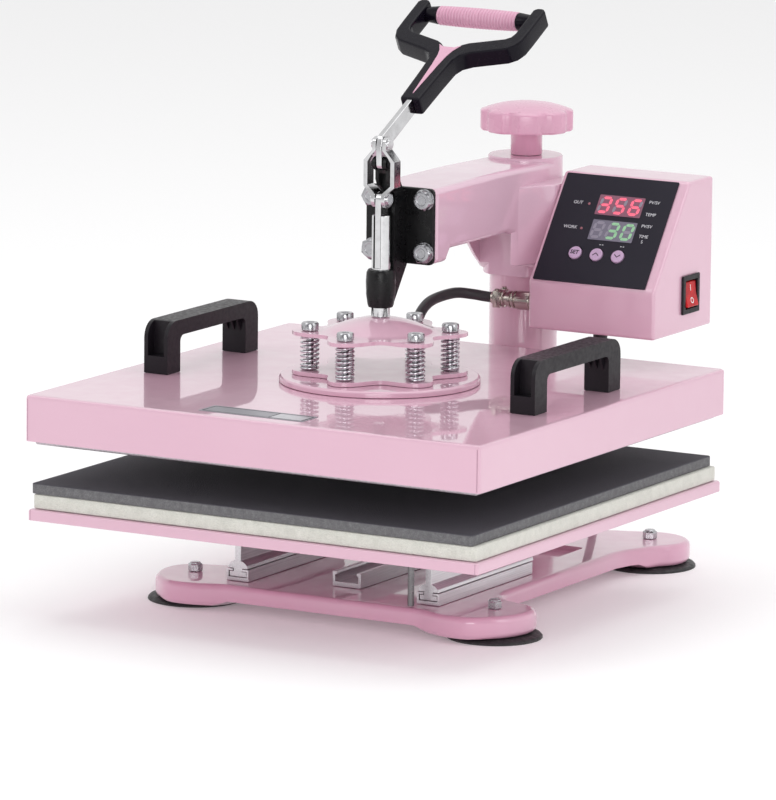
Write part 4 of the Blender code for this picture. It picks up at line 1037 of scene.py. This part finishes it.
def segment_bars(width, height):
    """A digit's seven bars: each one's middle, its half length and whether it stands upright."""
    top, side = height / 2, width / 2
    return {
        "a": ((0, top), side, False), "g": ((0, 0), side, False), "d": ((0, -top), side, False),
        "f": ((-side, top / 2), top / 2, True), "b": ((side, top / 2), top / 2, True),
        "e": ((-side, -top / 2), top / 2, True), "c": ((side, -top / 2), top / 2, True),
    }


def make_display(name, x0, x1, low, high, digits, lit):
    window = bmesh.new()
    centre = panel_frame((x0 + x1) / 2, (low + high) / 2, FILM)
    half_x, half_y = (x1 - x0) / 2, (high - low) / 2
    prism(window, rounded_rect(half_x, half_y, 0.0006, 3), 0.00003, 0.0003, centre, 0.00008)
    tone = "display_red" if lit == "digit_red" else "display_window"
    piece(name + "_window", window, tone, "arm", 30)
    pitch = 2 * half_x / 3
    width, height, bar = 0.0076, 0.0124, 0.0012
    lit_bars, dark_bars = bmesh.new(), bmesh.new()
    for i, digit in enumerate(digits):
        origin = (i - 1) * pitch
        for key, ((mx, my), half, upright) in segment_bars(width, height).items():
            reach = half - 0.0003
            tip = reach - bar
            hexagonal = [(-reach, 0), (-tip, bar), (tip, bar), (reach, 0), (tip, -bar), (-tip, -bar)]
            if upright:
                hexagonal = [(y, x) for x, y in hexagonal]
            target = lit_bars if key in SEGMENTS[digit] else dark_bars
            ring = [(origin + mx + px + 0.12 * (my + py), my + py) for px, py in hexagonal]
            slab(target, ring, 0.00028, 0.00038, centre)
    piece(name + "_digits", lit_bars, lit, "arm", 30)
    piece(name + "_unlit", dark_bars, "display_dark", "arm", 30)


def make_words(name, words, place, size, look, body, weight=0.0):
    """Raised print in Blender's own font."""
    curve = bpy.data.curves.new(name, "FONT")
    with_settings(curve, {"body": words, "size": size, "align_x": "CENTER", "align_y": "CENTER",
                          "extrude": 0.00004, "offset": weight})
    source = new_object(name + "_text", curve)
    mesh = baked(source)
    bpy.data.objects.remove(source)
    mesh.transform(place)
    mesh.name = name
    show(name, mesh, look, body)


def make_panel_print():
    words = (("out", "OUT", 0.0215, 0.07), ("work", "WORK", 0.0215, 0.0483),
             ("pv_upper", "PV/SV", 0.0865, 0.0755), ("temp", "TEMP", 0.0865, 0.0648),
             ("pv_lower", "PV/SV", 0.0865, 0.0545), ("time", "TIME", 0.0865, 0.0455),
             ("seconds", "S", 0.0865, 0.041))
    for name, text, x, along in words:
        place = panel_frame(x, along, FILM + 0.00006)
        make_words("print_" + name, text, place, 0.0038, "panel_ink", "arm")
    lamps = bmesh.new()
    for x, along in ((0.0313, 0.0696), (0.0314, 0.0479)):
        turned(lamps, [(1.1, 0.0), (1.1, 0.2), (0.8, 0.5), (0.3, 0.6)], 16, panel_frame(x, along, FILM))
    piece("panel_lamps", lamps, "lamp_dim", "arm", 50)
    marks = bmesh.new()
    for x in (0.053, 0.0712):
        for start in (-1.6, 0.6):
            box(marks, (start, -0.3, 0), (start + 1.2, 0.3, 0.1), panel_frame(x, 0.0352, FILM))
    piece("panel_marks", marks, "panel_ink", "arm", 30)


def make_button_marks():
    top = 0.0024
    make_words("mark_set", "SET", panel_frame(BUTTONS["button_set"], BUTTON_ALONG, top + 0.00005), 0.0046,
               "dark_ink", "button_set", 0.00012)
    for node, direction in (("button_up", 1), ("button_down", -1)):
        place = panel_frame(BUTTONS[node], BUTTON_ALONG, top)
        arrow = mm([(-2.6, -0.8), (0, 1.4), (2.6, -0.8), (2.6, -1.7), (0, 0.5), (-2.6, -1.7)])
        shape = slab(bmesh.new(), [(x, direction * y) for x, y in arrow], 0.0, 0.00012, place)
        piece("mark_" + node[7:], shape, "dark_ink", node, 30)


def make_switch_marks():
    """The on and off signs on the rocker's two halves."""
    y, z = middle("rocker").yz
    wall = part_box("rocker")[1].x - 0.004

    def on_face(start, end):
        """In the middle of a face that runs from start to end, (x, z) off the switch's centre."""
        up = Vector((end[0] - start[0], 0, end[1] - start[1])).normalized()
        point = Vector((wall + (start[0] + end[0]) / 2, y, z + (start[1] + end[1]) / 2))
        return facing(point, Vector((0, 1, 0)), up)

    shape = bmesh.new()
    at_off = on_face((0.004, -0.0098), (0.0014, 0))
    turned(shape, [(1.6, -0.1), (2.4, -0.1), (2.4, 0.2), (1.6, 0.2)], 24, at_off, around=True)
    box(shape, (-0.4, -2.4, -0.1), (0.4, 2.4, 0.2), on_face((0.0014, 0), (0.0006, 0.0098)))
    piece("switch_signs", shape, "white_ink", "rocker", 30)


def make_connector():
    """The round heater connector: flange, knurled coupling ring, back shell and cable clamp."""
    centre = middle("heater_connector")
    axis = at(0, centre.y, centre.z) @ spin(math.pi / 2, "Y")
    profile = [(1.0, 56.5), (5.6, 56.5), (5.6, 46.3), (8.2, 46.3), (8.5, 45.9), (8.5, 43.4), (8.1, 43.0),
               (6.7, 42.9), (6.7, 41.8), (7.1, 41.6), (7.3, 41.2), (7.3, 30.0), (6.9, 29.6), (6.0, 29.5),
               (6.0, 28.4), (6.9, 28.3), (7.0, 27.9), (7.0, 26.4), (6.8, 26.0), (6.0, 25.9), (6.0, 24.8),
               (6.7, 24.7), (6.7, 22.8), (5.6, 22.2), (5.4, 19.0), (6.6, 18.4), (7.0, 17.8), (7.0, 10.2),
               (6.6, 9.6), (5.0, 9.5), (5.0, 7.3), (4.6, 6.9), (1.0, 6.9)]

    def knurl(angle, radius):
        return 1 + 0.01 * max(0.0, math.cos(28 * angle)) if radius > 0.00725 else 1.0

    shape = turned(bmesh.new(), profile, 112, axis, radial=knurl)
    connector = piece("round_connector", shape, "nickel", "arm", 30)
    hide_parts("heater_connector")
    clamp = bmesh.new()
    for y in (-6.2, 6.2):
        box(clamp, (-6.6, y - 1.4, 10.8), (6.6, y + 1.4, 17.2), axis, 0.4)
        screw = axis @ at(-0.0066, y / 1000, 0.014) @ spin(-math.pi / 2, "Y")
        turned(clamp, [(1.7, 0), (2.0, 0.4), (2.0, 1.2), (1.4, 1.7)], 18, screw)
    piece("connector_clamp", clamp, "nickel", "arm", 30)


def make_box_screws():
    shape = bmesh.new()
    for x in (BOX_LOW.x + 0.007, BOX_HIGH.x - 0.007):
        for z in (BOX_LOW.z + 0.007, BOX_HIGH.z - 0.007):
            place = at(x, BOX_HIGH.y, z) @ spin(-math.pi / 2, "X")
            turned(shape, [(3.0, 0.0), (3.0, 0.6), (2.5, 1.2), (1.4, 1.6), (0.4, 1.7)], 24, place)
    piece("box_screws", shape, "steel", "arm", 60)


LOOKS = make_looks()
clear_defaults()
make_camera()
make_power_cord()
make_heater_lead()
for name, node in NODES.items():
    finish_node(name, node)
make_pad("felt_mat", "felt_pad", "felt", 0.002, 0.0009, 0.00028, 3.0)
make_pad("sponge_mat", "foam_pad", "foam_rubber", 0.0022, 0.0006, 0.00012, 9.0)
for index, place in enumerate(SCREW_PLACES):
    make_spring(index, place)
make_screw_heads()
make_label()
make_corner_seams()
make_carry_handle("bow_handle_left", "carry_handle_left")
make_carry_handle("bow_handle_right", "carry_handle_right")
make_base_nuts()
make_bolts()
make_ear_lugs()
make_fork_inlay()
make_grip()
make_knob()
for name, values in DISPLAYS.items():
    make_display(name, *values)
make_panel_print()
make_button_marks()
make_switch_marks()
make_connector()
make_box_screws()
make_stage()
